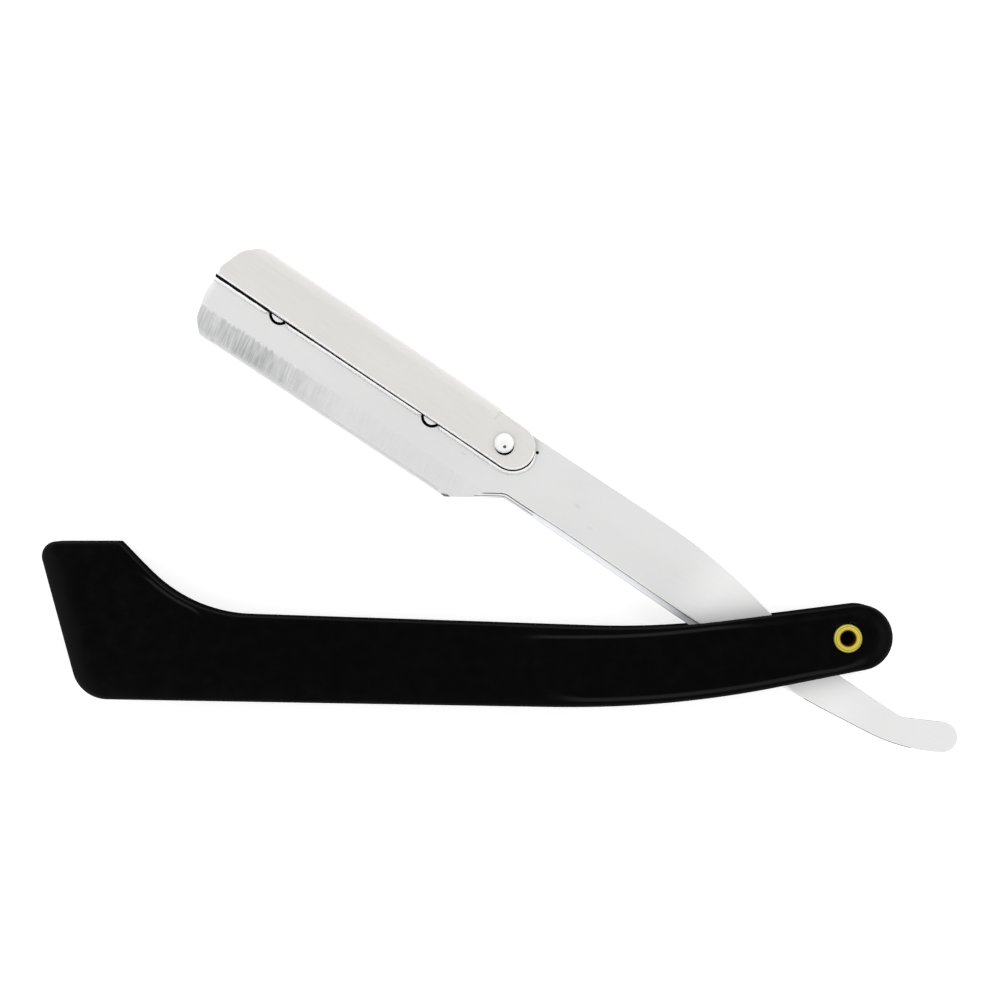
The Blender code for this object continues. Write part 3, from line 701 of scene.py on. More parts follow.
def groundBand(tree, place, reach, depth, colour, ground):
    # grinding strokes askew over the band along the edge, fading towards the heel
    ragged = streaks(tree, place, (1500.0, 60.0, 1.0), 2.0)
    spread = ground["ragged"] * mm
    edgeDepth = plus(tree, depth, ranged(tree, ragged, 0.25, 0.75, -spread, spread))
    band = faded(tree, edgeDepth, *ground["band"], smooth=True)
    for along, fades in ((reach, ground["reachFades"]), (depth, ground["depthFades"])):
        for fade in fades:
            band = times(tree, band, faded(tree, along, *fade))
    turn = (0.0, 0.0, -math.radians(ground["slant"]))
    askew = put(tree, "ShaderNodeMapping", {"Vector": place, "Rotation": turn}).outputs[0]
    strokes = streaks(tree, askew, (3300.0, 240.0, 1.0), 3.0, 0.6)
    patches = streaks(tree, askew, (520.0, 200.0, 1.0), 2.0)
    both = plus(tree, times(tree, strokes, 0.7), times(tree, patches, 0.3))
    amount = times(tree, ranged(tree, both, 0.36, 0.62, *ground["strength"]), band)
    toned = mixed(tree, amount, colour, ground["tone"])
    white = (1.0, 1.0, 1.0)
    # painted highlight: the line where the grinding starts is painted white here and there, in place of the
    # light it catches
    lineDepth, lineHalf, lineStrength = ground["shoulder"]
    off = maths(tree, "ABSOLUTE", maths(tree, "SUBTRACT", edgeDepth, lineDepth * mm))
    line = faded(tree, off, 0.0, lineHalf, lineStrength, 0.0)
    broken = ranged(tree, streaks(tree, place, (420.0, 40.0, 1.0), 1.0), 0.52, 0.62)
    line = times(tree, line, broken, faded(tree, reach, *ground["shoulderHighlightEnd"]))
    toned = mixed(tree, line, toned, white)
    # the tip is painted towards white: painted highlight
    toned = mixed(tree, faded(tree, reach, *ground["paintedTipHighlight"], smooth=True), toned, white)
    # stains, and the painted shade at the heel corner
    for u, w, radius, strength, tone in ground["marks"]:
        away = distanceFrom(tree, place, (u, w), ground["markStretch"])
        mark = faded(tree, away, 0.0, radius, strength, 0.0, smooth=True)
        toned = mixed(tree, mark, toned, (tone, tone, tone))
    return toned, amount


def satinSteel(look):
    colour = look["colour"]
    roughness = look["roughness"]
    finish, tree, shader = startFinish(look["name"], colour, 1.0, roughness)
    place = alongArm(tree)
    reach, depth, _ = split(tree, place)
    grain = streaks(tree, place, (260.0, 3400.0, 3400.0), 3.0, 0.6)
    cloud = streaks(tree, place, (60.0, 120.0, 120.0), 3.0)
    tint = mixed(tree, graded(tree, cloud), shade(colour, 0.982), shade(colour, 1.018))
    # lighter over the given reaches: on the plate painted light against the handle's shade, on the cover a
    # slight lightening at the heel end
    for start, end, gain in look["lighterReaches"]:
        share = faded(tree, reach, end, start, 1.0, 0.0, smooth=True)
        tint = mixed(tree, share, tint, shade(colour, gain))
    scored = ranged(tree, grain, 0.35, 0.7, 0.0, look["grain"])
    lined = mixed(tree, scored, tint, shade(colour, 0.7))
    relief = times(tree, grain, 0.3)
    if look["ground"]:
        lined, amount = groundBand(tree, place, reach, depth, lined, look["ground"])
        relief = plus(tree, relief, times(tree, amount, -0.8))
    dull = graded(tree, grain, roughness - 0.04, roughness + 0.05)
    dressed(tree, shader, lined, dull, relief, 0.004)
    return finish


def shearedSteel(name, colour, roughness, wear=0.3):
    finish, tree, shader = startFinish(name, colour, 1.0, roughness)
    place = alongArm(tree)
    score = streaks(tree, place, (3800.0, 3800.0, 500.0), 3.0, 0.6)
    blot = noise(tree, place, 500.0, 2.0)
    brighter = [min(1.0, c) for c in shade(colour, 1 + wear / 2)]
    worn = mixed(tree, graded(tree, score), shade(colour, 1 - wear), brighter)
    stain = ranged(tree, blot, 0.45, 0.75, 0.0, 1.2 * wear)
    stained = mixed(tree, stain, worn, shade(colour, 0.5))
    dressed(tree, shader, stained, graded(tree, score, roughness - 0.08, roughness + 0.1), score, 0.01)
    return finish


def changing(tree, place, start, end, before, after):
    # one tone up to a reach, another from a farther one on
    return mixed(tree, faded(tree, split(tree, place)[0], start, end, smooth=True), before, after)


def filedSteel(name, bright, dull):
    # a little bluer along the shank than on the heel's slope
    finish, tree, shader = startFinish(name, dull, 1.0, 0.6)
    place = alongArm(tree)
    score = streaks(tree, place, (420.0, 4200.0, 4200.0), 3.0, 0.6)
    blot = noise(tree, place, 420.0, 2.0)
    tone = changing(tree, place, 52.0, 57.0, dull, bright)
    worn = mixed(tree, ranged(tree, score, 0.35, 0.7, 0.0, 0.15), tone, shade(dull, 0.85))
    stained = mixed(tree, ranged(tree, blot, 0.5, 0.75, 0.0, 0.1), worn, shade(dull, 0.75))
    dressed(tree, shader, stained, graded(tree, score, 0.52, 0.68), score, 0.006)
    return finish


def gapShadeSteel(name, nearTip, nearHeel):
    # painted shade of the gap under the cover's edge, a little less black towards the heel, where the
    # sheared edge lies closer to the plate
    finish, tree, shader = startFinish(name, nearTip, 1.0, 0.6)
    place = alongArm(tree)
    nick = streaks(tree, place, (1400.0, 2600.0, 2600.0), 2.0)
    tone = changing(tree, place, 94.0, 101.0, nearHeel, nearTip)
    nicked = mixed(tree, graded(tree, nick, 0.0, 0.4), tone, shade(nearTip, 0.4))
    dressed(tree, shader, nicked, graded(tree, nick, 0.5, 0.7), nick, 0.008)
    return finish


plateSteel = satinSteel(plateFinish)
coverSteel = satinSteel(coverFinish)
# far lighter than the plate: burnished edges, partly a painted highlight for their bright lines
burnishedEdgeSteel = shearedSteel("burnishedEdgeSteel", (0.98, 0.98, 0.975), 0.5, 0.05)
plateEdgeSteel = shearedSteel("shearedPlateEdge", (0.42, 0.42, 0.42), 0.5)
# near black in the stud recesses, the witness pit, the cover's hollow under the rivet and the lines along
# the plate's edge: painted shade
darkRecessSteel = shearedSteel("darkRecessSteel", (0.018, 0.018, 0.018), 0.6)
filedEdgeSteel = filedSteel("filedLowerEdge", (0.97, 0.97, 0.97), (0.95, 0.96, 0.98))
coverBurrSteel = gapShadeSteel("coverBurrSteel", (0.012, 0.012, 0.012), (0.03, 0.03, 0.03))


plate = {
    "sheet": (4.0, 5.2),
    "spine": 0.6,
    # corners of the outline: (reach, depth, round)
    "foldSeat": (64.3, 1.213),
    "spineTip": (109.5, 0.7, 3.0),
    "tipShoulder": (112.4, 3.4, 3.0),
    "tipFace": (114.2, 9.4, 6.0),
    "tipNose": (112.9, 14.3, 3.0),
    "tipCorner": (111.2, 16.3, 0.8),
    "edge": 16.3,
    # room for the blade in the edge: reach of both ends, depth and ramp
    "relief": (109.2, 66.45, 0.6, 0.1),
    "heelCorner": (64.8, 16.3, 0.3),
    "heelFoot": (56.9, 11.3, 2.0),
    "shankBelly": (4.6, 12.2, 150.0),
    "tailBend": (-17.0, 9.95, 28.0),
    "tailTip": (-21.4, 4.7, 2.4),
    "tailTopBend": (-14.4, 5.55, 4.0),
    "neckBack": (-1.6, 5.55, 0.8),
    "lobe": (0.0, 0.0, 4.2),
    "neckFront": (8.5, 4.1, 2.5),
    "spineBend": (23.9, 0.6, 88.0),
    # (inset, drop) pairs of the front edge as sheared, and where it is filed
    "plainEdge": (
        (0.0, 0.08), (0.02, 0.03), (0.045, 0.01), (0.06, 0.0), (0.075, 0.0), (0.1, 0.0), (0.2, 0.0),
    ),
    "filedEdge": (
        (0.0, 0.45), (0.03, 0.4), (0.25, 0.33), (0.34, 0.27), (0.62, 0.12), (0.78, 0.015), (0.95, 0.0),
    ),
    # wider along the shank: added width, and the reach where it starts and is full
    "filedSpread": (0.25, 53.0, 48.0),
    # reaches between which the filing fades in at the heel and out at the tail, and its least depth
    "filedFrom": (62.2, 61.0),
    "filedTo": (6.0, 2.0),
    "filedBelow": 5.9,
    # reaches of the thin dark line on the tail and its least depth, and where the shank's lower line starts
    "tailLine": (-17.5, 0.4, 7.0),
    "shankLine": 52.0,
    "grindEnds": (56.9, 118.0),
    "grindWidth": 4.1,
    "grindThickness": 0.35,
    "pivotBore": 1.7,
    "rivetBore": 1.15,
    "studBores": ((102.2, 6.58), (73.36, 6.85)),
    "studBore": 1.15,
    # radius and floor of the recess round a stud's head, painted dark as its shade
    "studSeat": (1.75, 4.6),
    # reach, depth, radius, floor and the rise of its floor to the rim
    "witnessPit": (56.4, 2.45, 0.27, 4.9, 0.12),
    "edgeRound": 0.05,
}


def plateItems():
    tipRelief, heelRelief, reliefDepth, ramp = plate["relief"]
    edge = plate["edge"]

    def named(*names):
        return [(knob if name in ("tailTip", "lobe") else corner)(*plate[name]) for name in names]

    items = named("foldSeat", "spineTip", "tipShoulder", "tipFace", "tipNose", "tipCorner")
    items += [corner(tipRelief + ramp, edge), corner(tipRelief, edge - reliefDepth)]
    items += [corner(heelRelief, edge - reliefDepth), corner(heelRelief - ramp, edge)]
    items += named("heelCorner", "heelFoot", "shankBelly", "tailBend", "tailTip", "tailTopBend")
    items += named("neckBack", "lobe", "neckFront", "spineBend")
    return items + [corner(plate["foldSeat"][0], plate["spine"])]


def filedShare(point):
    # 1 on the lower edge, from the heel's slope to the tail, where the corner is filed away
    if point.y < plate["filedBelow"]:
        return 0.0
    (none, full), (last, gone) = plate["filedFrom"], plate["filedTo"]
    fromHeel = (none - point.x) / (none - full)
    fromTail = (point.x - gone) / (last - gone)
    return asShare(min(fromHeel, fromTail))


def plateRings():
    low, high = plate["sheet"]
    plan = planOutline(plateItems(), outlineSteps)
    rim = ringAt(plan)
    edgeRound = plate["edgeRound"]
    rings = []
    for inset, height in ((edgeRound * 3, low), (edgeRound, low), (0.0, low + edgeRound)):
        rings.append([(p.x, p.y, height) for p in ringAt(plan, inset)])
    spread, spreadFrom, spreadFull = plate["filedSpread"]
    spreadInset = 0.5  # rows further in are moved by the whole spread
    for (plainInset, plainDrop), (filedInset, filedDrop) in zip(plate["plainEdge"], plate["filedEdge"]):
        ring = []
        plain = ringAt(plan, plainInset)
        filed = ringAt(plan, filedInset)
        widened = ringAt(plan, filedInset + spread * min(1.0, filedInset / spreadInset))
        for base, near, far, wide in zip(rim, plain, filed, widened):
            share = filedShare(base)
            far = far.lerp(wide, asShare((spreadFrom - base.x) / (spreadFrom - spreadFull)))
            place = near.lerp(far, share)
            ring.append((place.x, place.y, high - plainDrop * (1 - share) - filedDrop * share))
        rings.append(ring)
    return rings


# cutters in the sheet reach from below it to above it
sheetCut = (1.0, 8.0)


def grindWedge():
    back, front = plate["sheet"]
    low = plate["edge"] - plate["grindWidth"]
    slope = (front - back - plate["grindThickness"]) / plate["grindWidth"]
    past = 20.0
    before = 3.0
    above = sheetCut[1]
    section = [
        Vector((low, front)),
        Vector((past, front - slope * (past - low))),
        Vector((past, above)),
        Vector((low - before, above)),
        Vector((low - before, front + slope * before)),
    ]
    shape = raised(section, *plate["grindEnds"])
    for vertex in shape.verts:
        vertex.co = vertex.co.zxy
    bmesh.ops.recalc_face_normals(shape, faces=shape.faces)
    return shape


def makePlate():
    satin, sheared, filed, dark, bright = range(5)
    # the dark rows are small steps painted near black, lines of painted shade along the filed edge; the
    # bright row has the burnished finish with its painted highlight
    slots = [satin, satin, sheared, sheared, filed, dark, filed, dark, bright]
    finishes = [plateSteel, plateEdgeSteel, filedEdgeSteel, darkRecessSteel, burnishedEdgeSteel]
    tailEnd, tailStart, tailDepth = plate["tailLine"]
    upperLineDrop = 0.2  # the lower of the two lines along the shank lies deeper than this
    shape = loft(plateRings(), slots)
    for face in shape.faces:
        centre = face.calc_center_median() / mm
        if face.material_index in (filed, dark, bright) and filedShare(centre) < 0.5:
            # a thin line of painted shade is left of it on the tail
            onTail = tailEnd < centre.x < tailStart and centre.y > tailDepth
            face.material_index = dark if onTail and face.material_index != bright else satin
        elif face.material_index == dark and centre.x < plate["shankLine"]:
            # along the shank only the upper of the two painted shade lines is left, in the grey sheared
            # finish
            face.material_index = filed if centre.z < plate["sheet"][1] - upperLineDrop else sheared
    piece = asPiece("armPlate", shape, armTurn, finishes)
    carve(piece, grindWedge(), armTurn, satin)
    carve(piece, pin(plate["pivotBore"], *sheetCut, 64), armTurn, sheared)
    at = (armPlace["rivetReach"], armPlace["rivetDepth"])
    carve(piece, pin(plate["rivetBore"], *sheetCut, 48, *at), armTurn, sheared)
    under, over = sheetCut
    bore = plate["studBore"]
    seat, seatFloor = plate["studSeat"]
    profile = [(0.0, under), (bore, under), (bore, seatFloor), (seat, seatFloor), (seat, over), (0.0, over)]
    # the recess round each stud and the witness pit are painted near black: painted shade
    for place in plate["studBores"]:
        carve(piece, turned(profile, 48, *place), armTurn, dark)
    x, y, radius, floor, rise = plate["witnessPit"]
    pit = turned([(0.0, floor), (radius, floor + rise), (radius, over), (0.0, over)], 20, x, y)
    carve(piece, pit, armTurn, dark)
    evenShading(piece)
    settle(piece)
    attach(piece, "arm")
    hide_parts("blade_arm")


makePlate()
print("arm plate stamped and ground")


cover = {
    "sheet": 0.8,
    "backLeg": 2.9,
    "frontLeg": 5.9,
    "tip": 114.0,
    "noseLength": 4.7,
    # corners of the outline: (reach, depth, round)
    "shoulder": (112.6, 2.1, 3.0),
    "faceDepth": 5.9,
    "faceRound": 3.0,
    "lowerEdge": 7.39,
    "cornerRound": 0.3,
    "tab": (60.1, 3.84, 3.56),
    "tabTop": (64.89, 0.15, 0.3),
    "foldStart": 64.9,
    "slitDepth": 0.1,
    "backCorner": (112.2, 14.4, 1.5),
    "backFace": (114.0, 9.9, 3.0),
    "backHeel": (61.6, 11.0, 1.5),
    "backHeelFoot": (66.8, 14.4, 1.5),
    "foldSteps": 20,
    "bore": 1.15,
    "edgeRound": 0.2,
    # the sheared edge: a groove painted dark as the shade under the edge, (reach, middle, width), then a
    # bright lip down to the plate
    "groove": (
        (65.0, 0.12, 0.2), (76.0, 0.12, 0.2), (84.0, 0.18, 0.2), (94.0, 0.2, 0.25), (98.0, 0.22, 0.32),
        (104.0, 0.23, 0.42), (112.0, 0.24, 0.46),
    ),
    # (strength, waves a millimetre, start) of its uneven width
    "grooveWaves": ((0.1, 2.3, 0.0), (0.08, 5.9, 1.0)),
    "grooveAbove": 0.9,
    # on the tab: middle and width, and how far above the rivet it starts and how soon it is full
    "grooveOnTab": (0.13, 0.24),
    "tabFade": (1.6, 2.4),
    "grooveHeight": 0.07,
    "lip": 0.55,
    "lipDrop": 0.27,
    # distance from a stud where each starts to open, over what length, and the least share
    "grooveAtStud": (1.2, 0.45, 0.35),
    "lipAtStud": (1.7, 0.5),
    # hollow round the rivet, set a little low and painted dark as a painted shadow below its head: offset
    # in the picture's x and y, radius and floor
    "rivetSeat": (0.06, -0.42, 1.6, 6.12),
}
cover["foldRadius"] = (cover["frontLeg"] - cover["backLeg"]) / 2
cover["foldHeight"] = (cover["frontLeg"] + cover["backLeg"]) / 2
cover["halfGirth"] = math.pi * cover["foldRadius"] / 2


def coverFoldDepth():
    # the bend's axis keeps the sheet a running gap clear of the spine
    gap = 0.3
    inside = cover["foldRadius"] - cover["sheet"] / 2
    room = math.sqrt(inside ** 2 - (plate["sheet"][1] - cover["foldHeight"]) ** 2)
    lean = math.tan(math.radians(armPlace["clampLean"]))
    spineAtRivet = plate["spineTip"][1] + (plate["spineTip"][0] - armPlace["rivetReach"]) * lean
    return spineAtRivet - gap + room


cover["foldDepth"] = coverFoldDepth()


def girth(depth):
    return cover["halfGirth"] + depth - cover["foldDepth"]


def coverItems():
    tabX, tabY, tabRadius = cover["tab"]
    topX, topY, topRound = cover["tabTop"]
    slit = girth(cover["foldDepth"] + cover["slitDepth"])
    shoulderX, shoulderY, shoulderRound = cover["shoulder"]
    tip = cover["tip"]

    def back(place):
        return corner(place[0], -girth(place[1]), place[2])

    return [
        corner(tip - cover["noseLength"], 0.0),
        corner(shoulderX, girth(shoulderY), shoulderRound),
        corner(tip, girth(cover["faceDepth"]), cover["faceRound"]),
        corner(tip, girth(cover["lowerEdge"]), cover["cornerRound"]),
        knob(tabX, girth(tabY), tabRadius),
        corner(topX, girth(topY), topRound),
        corner(topX, slit),
        corner(cover["foldStart"], slit),
        corner(cover["foldStart"], -slit),
        corner(topX, -slit),
        corner(topX, -girth(topY), topRound),
        knob(tabX, -girth(tabY), tabRadius),
        back(cover["backHeel"]),
        back(cover["backHeelFoot"]),
        back(cover["backCorner"]),
        back(cover["backFace"]),
        corner(tip, -girth(cover["faceDepth"]), cover["faceRound"]),
        corner(shoulderX, -girth(shoulderY), shoulderRound),
    ]


def foldedPlace(reach, across, lift):
    # lift is the height over the middle of the sheet, plus on its outer face
    side = math.copysign(1.0, across)
    half = cover["halfGirth"]
    slitMiddle = (cover["tabTop"][0] + cover["foldStart"]) / 2
    if reach < slitMiddle or abs(across) >= half:
        depth = cover["foldDepth"] + abs(across) - half
        return depth, cover["foldHeight"] + side * (cover["foldRadius"] + lift)
    angle = across / cover["foldRadius"]
    radius = cover["foldRadius"] + lift
    return cover["foldDepth"] - radius * math.cos(angle), cover["foldHeight"] + radius * math.sin(angle)


def shearAt(point):
    # near and far side of the groove and width of the lip at a place of the outline, front leg only
    if point.y < girth(cover["lowerEdge"] - cover["grooveAbove"]) and point.x > cover["tab"][0]:
        return 0.0, 0.0, 0.0
    if point.x < cover["foldStart"]:
        before, length = cover["tabFade"]
        rise = asShare((point.y - girth(cover["tab"][1] - before)) / length)
        middle, width = cover["grooveOnTab"]
        return (middle - width / 2) * rise, (middle + width / 2) * rise, cover["lip"] * rise
    ragged = 1.0
    for size, waves, start in cover["grooveWaves"]:
        ragged += size * math.sin(waves * point.x + start)
    middle = alongStops([(x, value) for x, value, _ in cover["groove"]], point.x)
    width = alongStops([(x, value) for x, _, value in cover["groove"]], point.x) * ragged
    # nearly closed over the studs, with no lip beside them
    nearest = min(abs(point.x - reach) for reach, _ in plate["studBores"])
    start, length, least = cover["grooveAtStud"]
    width *= least + (1 - least) * asShare((nearest - start) / length)
    start, length = cover["lipAtStud"]
    lip = cover["lip"] * asShare((nearest - start) / length)
    return middle - width / 2, middle + width / 2, lip


def besideSlit(point):
    # on the slit between tab and fold, which is too narrow for the insets
    return abs(point.x - cover["foldStart"]) < 0.3 and abs(point.y) < girth(cover["foldDepth"] + 0.25)


def makeCover():
    plan = planOutline(coverItems(), {**outlineSteps, "straight": 0.45})
    rim = ringAt(plan)
    half = cover["sheet"] / 2
    edge = cover["edgeRound"]
    wide = ringAt(plan, -1.0)
    rings = []

    def addRing(inset, lift, near=0.0, far=0.0, lip=0.0):
        ring = []
        for point, shifted, outer in zip(rim, ringAt(plan, inset), wide):
            if besideSlit(point):
                shifted = point.lerp(shifted, 0.05)
            # square off the straight edge, all round on the tab
            way = outer - point if point.x < cover["foldStart"] else Vector((0.0, 1.0))
            grooveNear, grooveFar, lipWidth = shearAt(point)
            place = shifted + way * (grooveNear * near + grooveFar * far + lipWidth * lip)
            ring.append((place.x, place.y, lift - cover["lipDrop"] * lip * lipWidth / cover["lip"]))
        rings.append(ring)

    satin, sheared, dark, bright, recess = range(5)
    groove = -half + cover["grooveHeight"]
    # from the inner face round the edge to the outer one
    addRing(0.3, -half)
    addRing(0.07, -half)
    addRing(0.0, -half, far=1.0, lip=1.0)
    addRing(0.0, -half + 0.03, far=1.0, lip=1.0)
    addRing(0.0, groove + 0.02, far=1.0)
    addRing(0.0, groove, near=1.0)
    addRing(0.0, groove + 0.1, near=0.9)
    addRing(0.0, half - edge)
    addRing(edge * 0.13, half - edge * 0.5)
    addRing(edge * 0.5, half - edge * 0.13)
    addRing(edge, half)
    addRing(edge + 0.12, half)
    # the groove takes the painted shade finish, the lip and the edge round the burnished finish with its
    # painted highlight
    slots = [satin, sheared, bright, bright, dark, dark] + [bright] * 5
    closed = 0.02
    shape = loft(rings, slots)
    for face in shape.faces:
        centre = face.calc_center_median() / mm
        if face.material_index in (dark, bright) and shearAt(centre)[1] < closed:
            face.material_index = satin if centre.z > 0.0 else sheared
        atHeelEnd = cover["tabTop"][0] - 0.5 < centre.x < cover["foldStart"] + 0.3
        if atHeelEnd and abs(centre.y) < girth(1.6):
            face.material_index = satin
    for step in range(cover["foldSteps"] + 1):
        across = cover["halfGirth"] * (2 * step / cover["foldSteps"] - 1) * mm
        everything = shape.verts[:] + shape.edges[:] + shape.faces[:]
        bmesh.ops.bisect_plane(shape, geom=everything, plane_co=(0, across, 0), plane_no=(0, 1, 0))
    for vertex in shape.verts:
        reach, across, lift = (c / mm for c in vertex.co)
        depth, height = foldedPlace(reach, across, lift)
        vertex.co = Vector((reach - armPlace["rivetReach"], depth - armPlace["rivetDepth"], height)) * mm
    bmesh.ops.recalc_face_normals(shape, faces=shape.faces)
    finishes = [coverSteel, plateEdgeSteel, coverBurrSteel, burnishedEdgeSteel, darkRecessSteel]
    piece = asPiece("spineCover", shape, clampTurn, finishes)
    over = 12.0
    carve(piece, pin(cover["bore"], -1.0, over, 48), clampTurn, sheared)
    # the offset hollow is painted near black, a painted shadow on the lower side of the rivet's head
    offX, offY, seatRadius, seatFloor = cover["rivetSeat"]
    seat = [(0.0, seatFloor), (seatRadius - 0.1, seatFloor), (seatRadius, over), (0.0, over)]
    carve(piece, turned(seat, 64, rivetAt[0] + offX, rivetAt[1] + offY), None, recess)
    evenShading(piece)
    settle(piece)
    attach(piece, "clamp")
    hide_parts("blade_clamp")


makeCover()
print("cover folded over the spine")


def turnTree():
    # spins a section round an upright axis and sets it out along a line
    tree = bpy.data.node_groups.new("turnAndSetOut", "GeometryNodeTree")
    tree.is_modifier = True
    inputs = (
        ("Geometry", "NodeSocketGeometry", None),
        ("Section", "NodeSocketObject", None),
        ("Section points", "NodeSocketInt", 8),
        ("Facets", "NodeSocketInt", 64),
        ("First place", "NodeSocketVector", (0.0, 0.0, 0.0)),
        ("Step", "NodeSocketVector", (0.0, 0.0, 0.0)),
        ("Pieces", "NodeSocketInt", 1),
        ("Finish", "NodeSocketMaterial", None),
    )
    for name, kind, value in inputs:
        socket = tree.interface.new_socket(name, in_out="INPUT", socket_type=kind)
        if value is not None:
            socket.default_value = value
    tree.interface.new_socket("Geometry", in_out="OUTPUT", socket_type="NodeSocketGeometry")
    given = tree.nodes.new("NodeGroupInput").outputs
    result = tree.nodes.new("NodeGroupOutput")
    section = put(tree, "GeometryNodeObjectInfo", {"Object": given["Section"]}).outputs["Geometry"]
    count = given["Section points"]
    columns = plus(tree, given["Facets"], 1.0)
    grid = put(tree, "GeometryNodeMeshGrid", {"Vertices X": columns, "Vertices Y": count})
    index = put(tree, "GeometryNodeInputIndex").outputs[0]
    column = maths(tree, "FLOOR", maths(tree, "DIVIDE", plus(tree, index, 0.5), count))
    row = maths(tree, "SUBTRACT", index, times(tree, column, count))
    inputs = {"Geometry": section, "Index": row}
    sample = put(tree, "GeometryNodeSampleIndex", inputs, data_type="FLOAT_VECTOR")
    where = put(tree, "GeometryNodeInputPosition").outputs[0]
    tree.links.new(where, sample.inputs["Value"])
    point = split(tree, sample.outputs[0])
    angle = maths(tree, "DIVIDE", times(tree, column, math.tau), given["Facets"])
    spun = put(tree, "ShaderNodeCombineXYZ", {
        0: times(tree, point[0], maths(tree, "COSINE", angle)),
        1: times(tree, point[0], maths(tree, "SINE", angle)),
        2: point[2],
    }).outputs[0]
    placed = put(tree, "GeometryNodeSetPosition", {"Geometry": grid.outputs["Mesh"], "Position": spun})
    inputs = {"Geometry": placed.outputs[0], "Distance": 0.001 * mm}
    closed = put(tree, "GeometryNodeMergeByDistance", inputs)
    line = put(tree, "GeometryNodeMeshLine", {
        "Count": given["Pieces"],
        "Start Location": given["First place"],
        "Offset": given["Step"],
    }, mode="OFFSET")
    inputs = {"Points": line.outputs[0], "Instance": closed.outputs[0]}
    spread = put(tree, "GeometryNodeInstanceOnPoints", inputs)
    real = put(tree, "GeometryNodeRealizeInstances", {"Geometry": spread.outputs[0]})
    inputs = {"Geometry": real.outputs[0], "Material": given["Finish"]}
    finished = put(tree, "GeometryNodeSetMaterial", inputs)
    tree.links.new(finished.outputs[0], result.inputs[0])
    return tree


turnAndSetOut = turnTree()


def turnedPieces(name, section, finish, first=(0.0, 0.0, 0.0), step=(0.0, 0.0, 0.0), pieces=1, facets=64):
    # section: (radius, height) pairs in millimetres
    line = bpy.data.meshes.new(name + "Section")
    edges = [(i, i + 1) for i in range(len(section) - 1)]
    line.from_pydata([(r * mm, 0.0, z * mm) for r, z in section], edges, [])
    drawn = linked(name + "Section", line)
    piece = linked(name, bpy.data.meshes.new(name))
    modifier = piece.modifiers.new("turn", "NODES")
    modifier.node_group = turnAndSetOut
    wanted = {
        "Section": drawn,
        "Section points": len(section),
        "Facets": facets,
        "First place": [c * mm for c in first],
        "Step": [c * mm for c in step],
        "Pieces": pieces,
        "Finish": finish,
    }
    for item in turnAndSetOut.interface.items_tree:
        if item.in_out == "INPUT" and item.name in wanted:
            modifier[item.identifier] = wanted[item.name]
    settle(piece)
    bpy.data.objects.remove(drawn)
    piece.data.materials.clear()
    piece.data.materials.append(finish)
    shape = bmesh.new()
    shape.from_mesh(piece.data)
    bmesh.ops.recalc_face_normals(shape, faces=shape.faces)
    shape.to_mesh(piece.data)
    shape.free()
    piece.data.shade_smooth()
    piece.data.set_sharp_from_angle(angle=math.radians(30.0))
    return piece


def turnedMetal(name, colour, roughness, centre, shadeZones=(), ringScale=4000.0):
    # turning rings about the piece's own axis, and darker rings by radius that are painted shade
    finish, tree, shader = startFinish(name, colour, 1.0, roughness)
    place = objectCoords(tree)
    radius = distanceFrom(tree, place, centre)
    wobble = noise(tree, place, 900.0, 2.0)
    spread = times(tree, radius, ringScale)
    rings = noise(tree, put(tree, "ShaderNodeCombineXYZ", {0: spread}).outputs[0], 1.0, 2.0)
    blot = noise(tree, place, 650.0, 3.0)
    tone = mixed(tree, ranged(tree, blot, 0.4, 0.7, 0.0, 0.3), colour, shade(colour, 0.86))
    uneven = plus(tree, radius, graded(tree, wobble, -0.05 * mm, 0.05 * mm))
    for inside, outside, shadeColour in shadeZones:
        share = faded(tree, uneven, inside, outside, 1.0, 0.0, smooth=True)
        tone = mixed(tree, share, tone, shadeColour)
    dull = graded(tree, blot, roughness - 0.05, roughness + 0.08)
    dressed(tree, shader, tone, dull, plus(tree, rings, times(tree, wobble, 0.8)), 0.012)
    return finish


pivot = {
    "headRadius": 2.7,
    "headHeight": 0.7,
    "chamfer": 0.15,
    "shank": 1.55,
    "shankTop": 8.72,
    "rimRadius": 2.26,
    # outer roll with a shallow set mark: (inset from the rim, height)
    "roll": (
        (0.16, 8.74), (0.05, 8.84), (0.0, 8.98), (0.0, 9.14), (0.05, 9.3), (0.13, 9.43), (0.24, 9.53),
        (0.36, 9.575), (0.44, 9.57), (0.52, 9.585), (0.62, 9.64), (0.72, 9.65),
    ),
    "boreRadius": 1.14,
    # flared lip: (distance from the bore, drop from the top)
    "lip": ((0.28, 0.03), (0.18, 0.1), (0.08, 0.24), (0.02, 0.42), (0.0, 0.7)),
    "boreFloor": 2.6,
    "floorChamfer": 0.2,
    "top": 9.65,
}


def pivotSection():
    head = pivot["headRadius"]
    chamfer = pivot["chamfer"]
    shank = pivot["shank"]
    bore = pivot["boreRadius"]
    floor = pivot["boreFloor"]
    section = [(0.0, 0.0), (head - chamfer, 0.0), (head, chamfer), (head, pivot["headHeight"])]
    section += [(shank, pivot["headHeight"]), (shank, pivot["shankTop"])]
    section += [(pivot["rimRadius"] - inset, height) for inset, height in pivot["roll"]]
    section += [(bore + out, pivot["top"] - drop) for out, drop in pivot["lip"]]
    chamfer = pivot["floorChamfer"]
    return section + [(bore, floor + chamfer), (bore - chamfer, floor), (0.0, floor)]


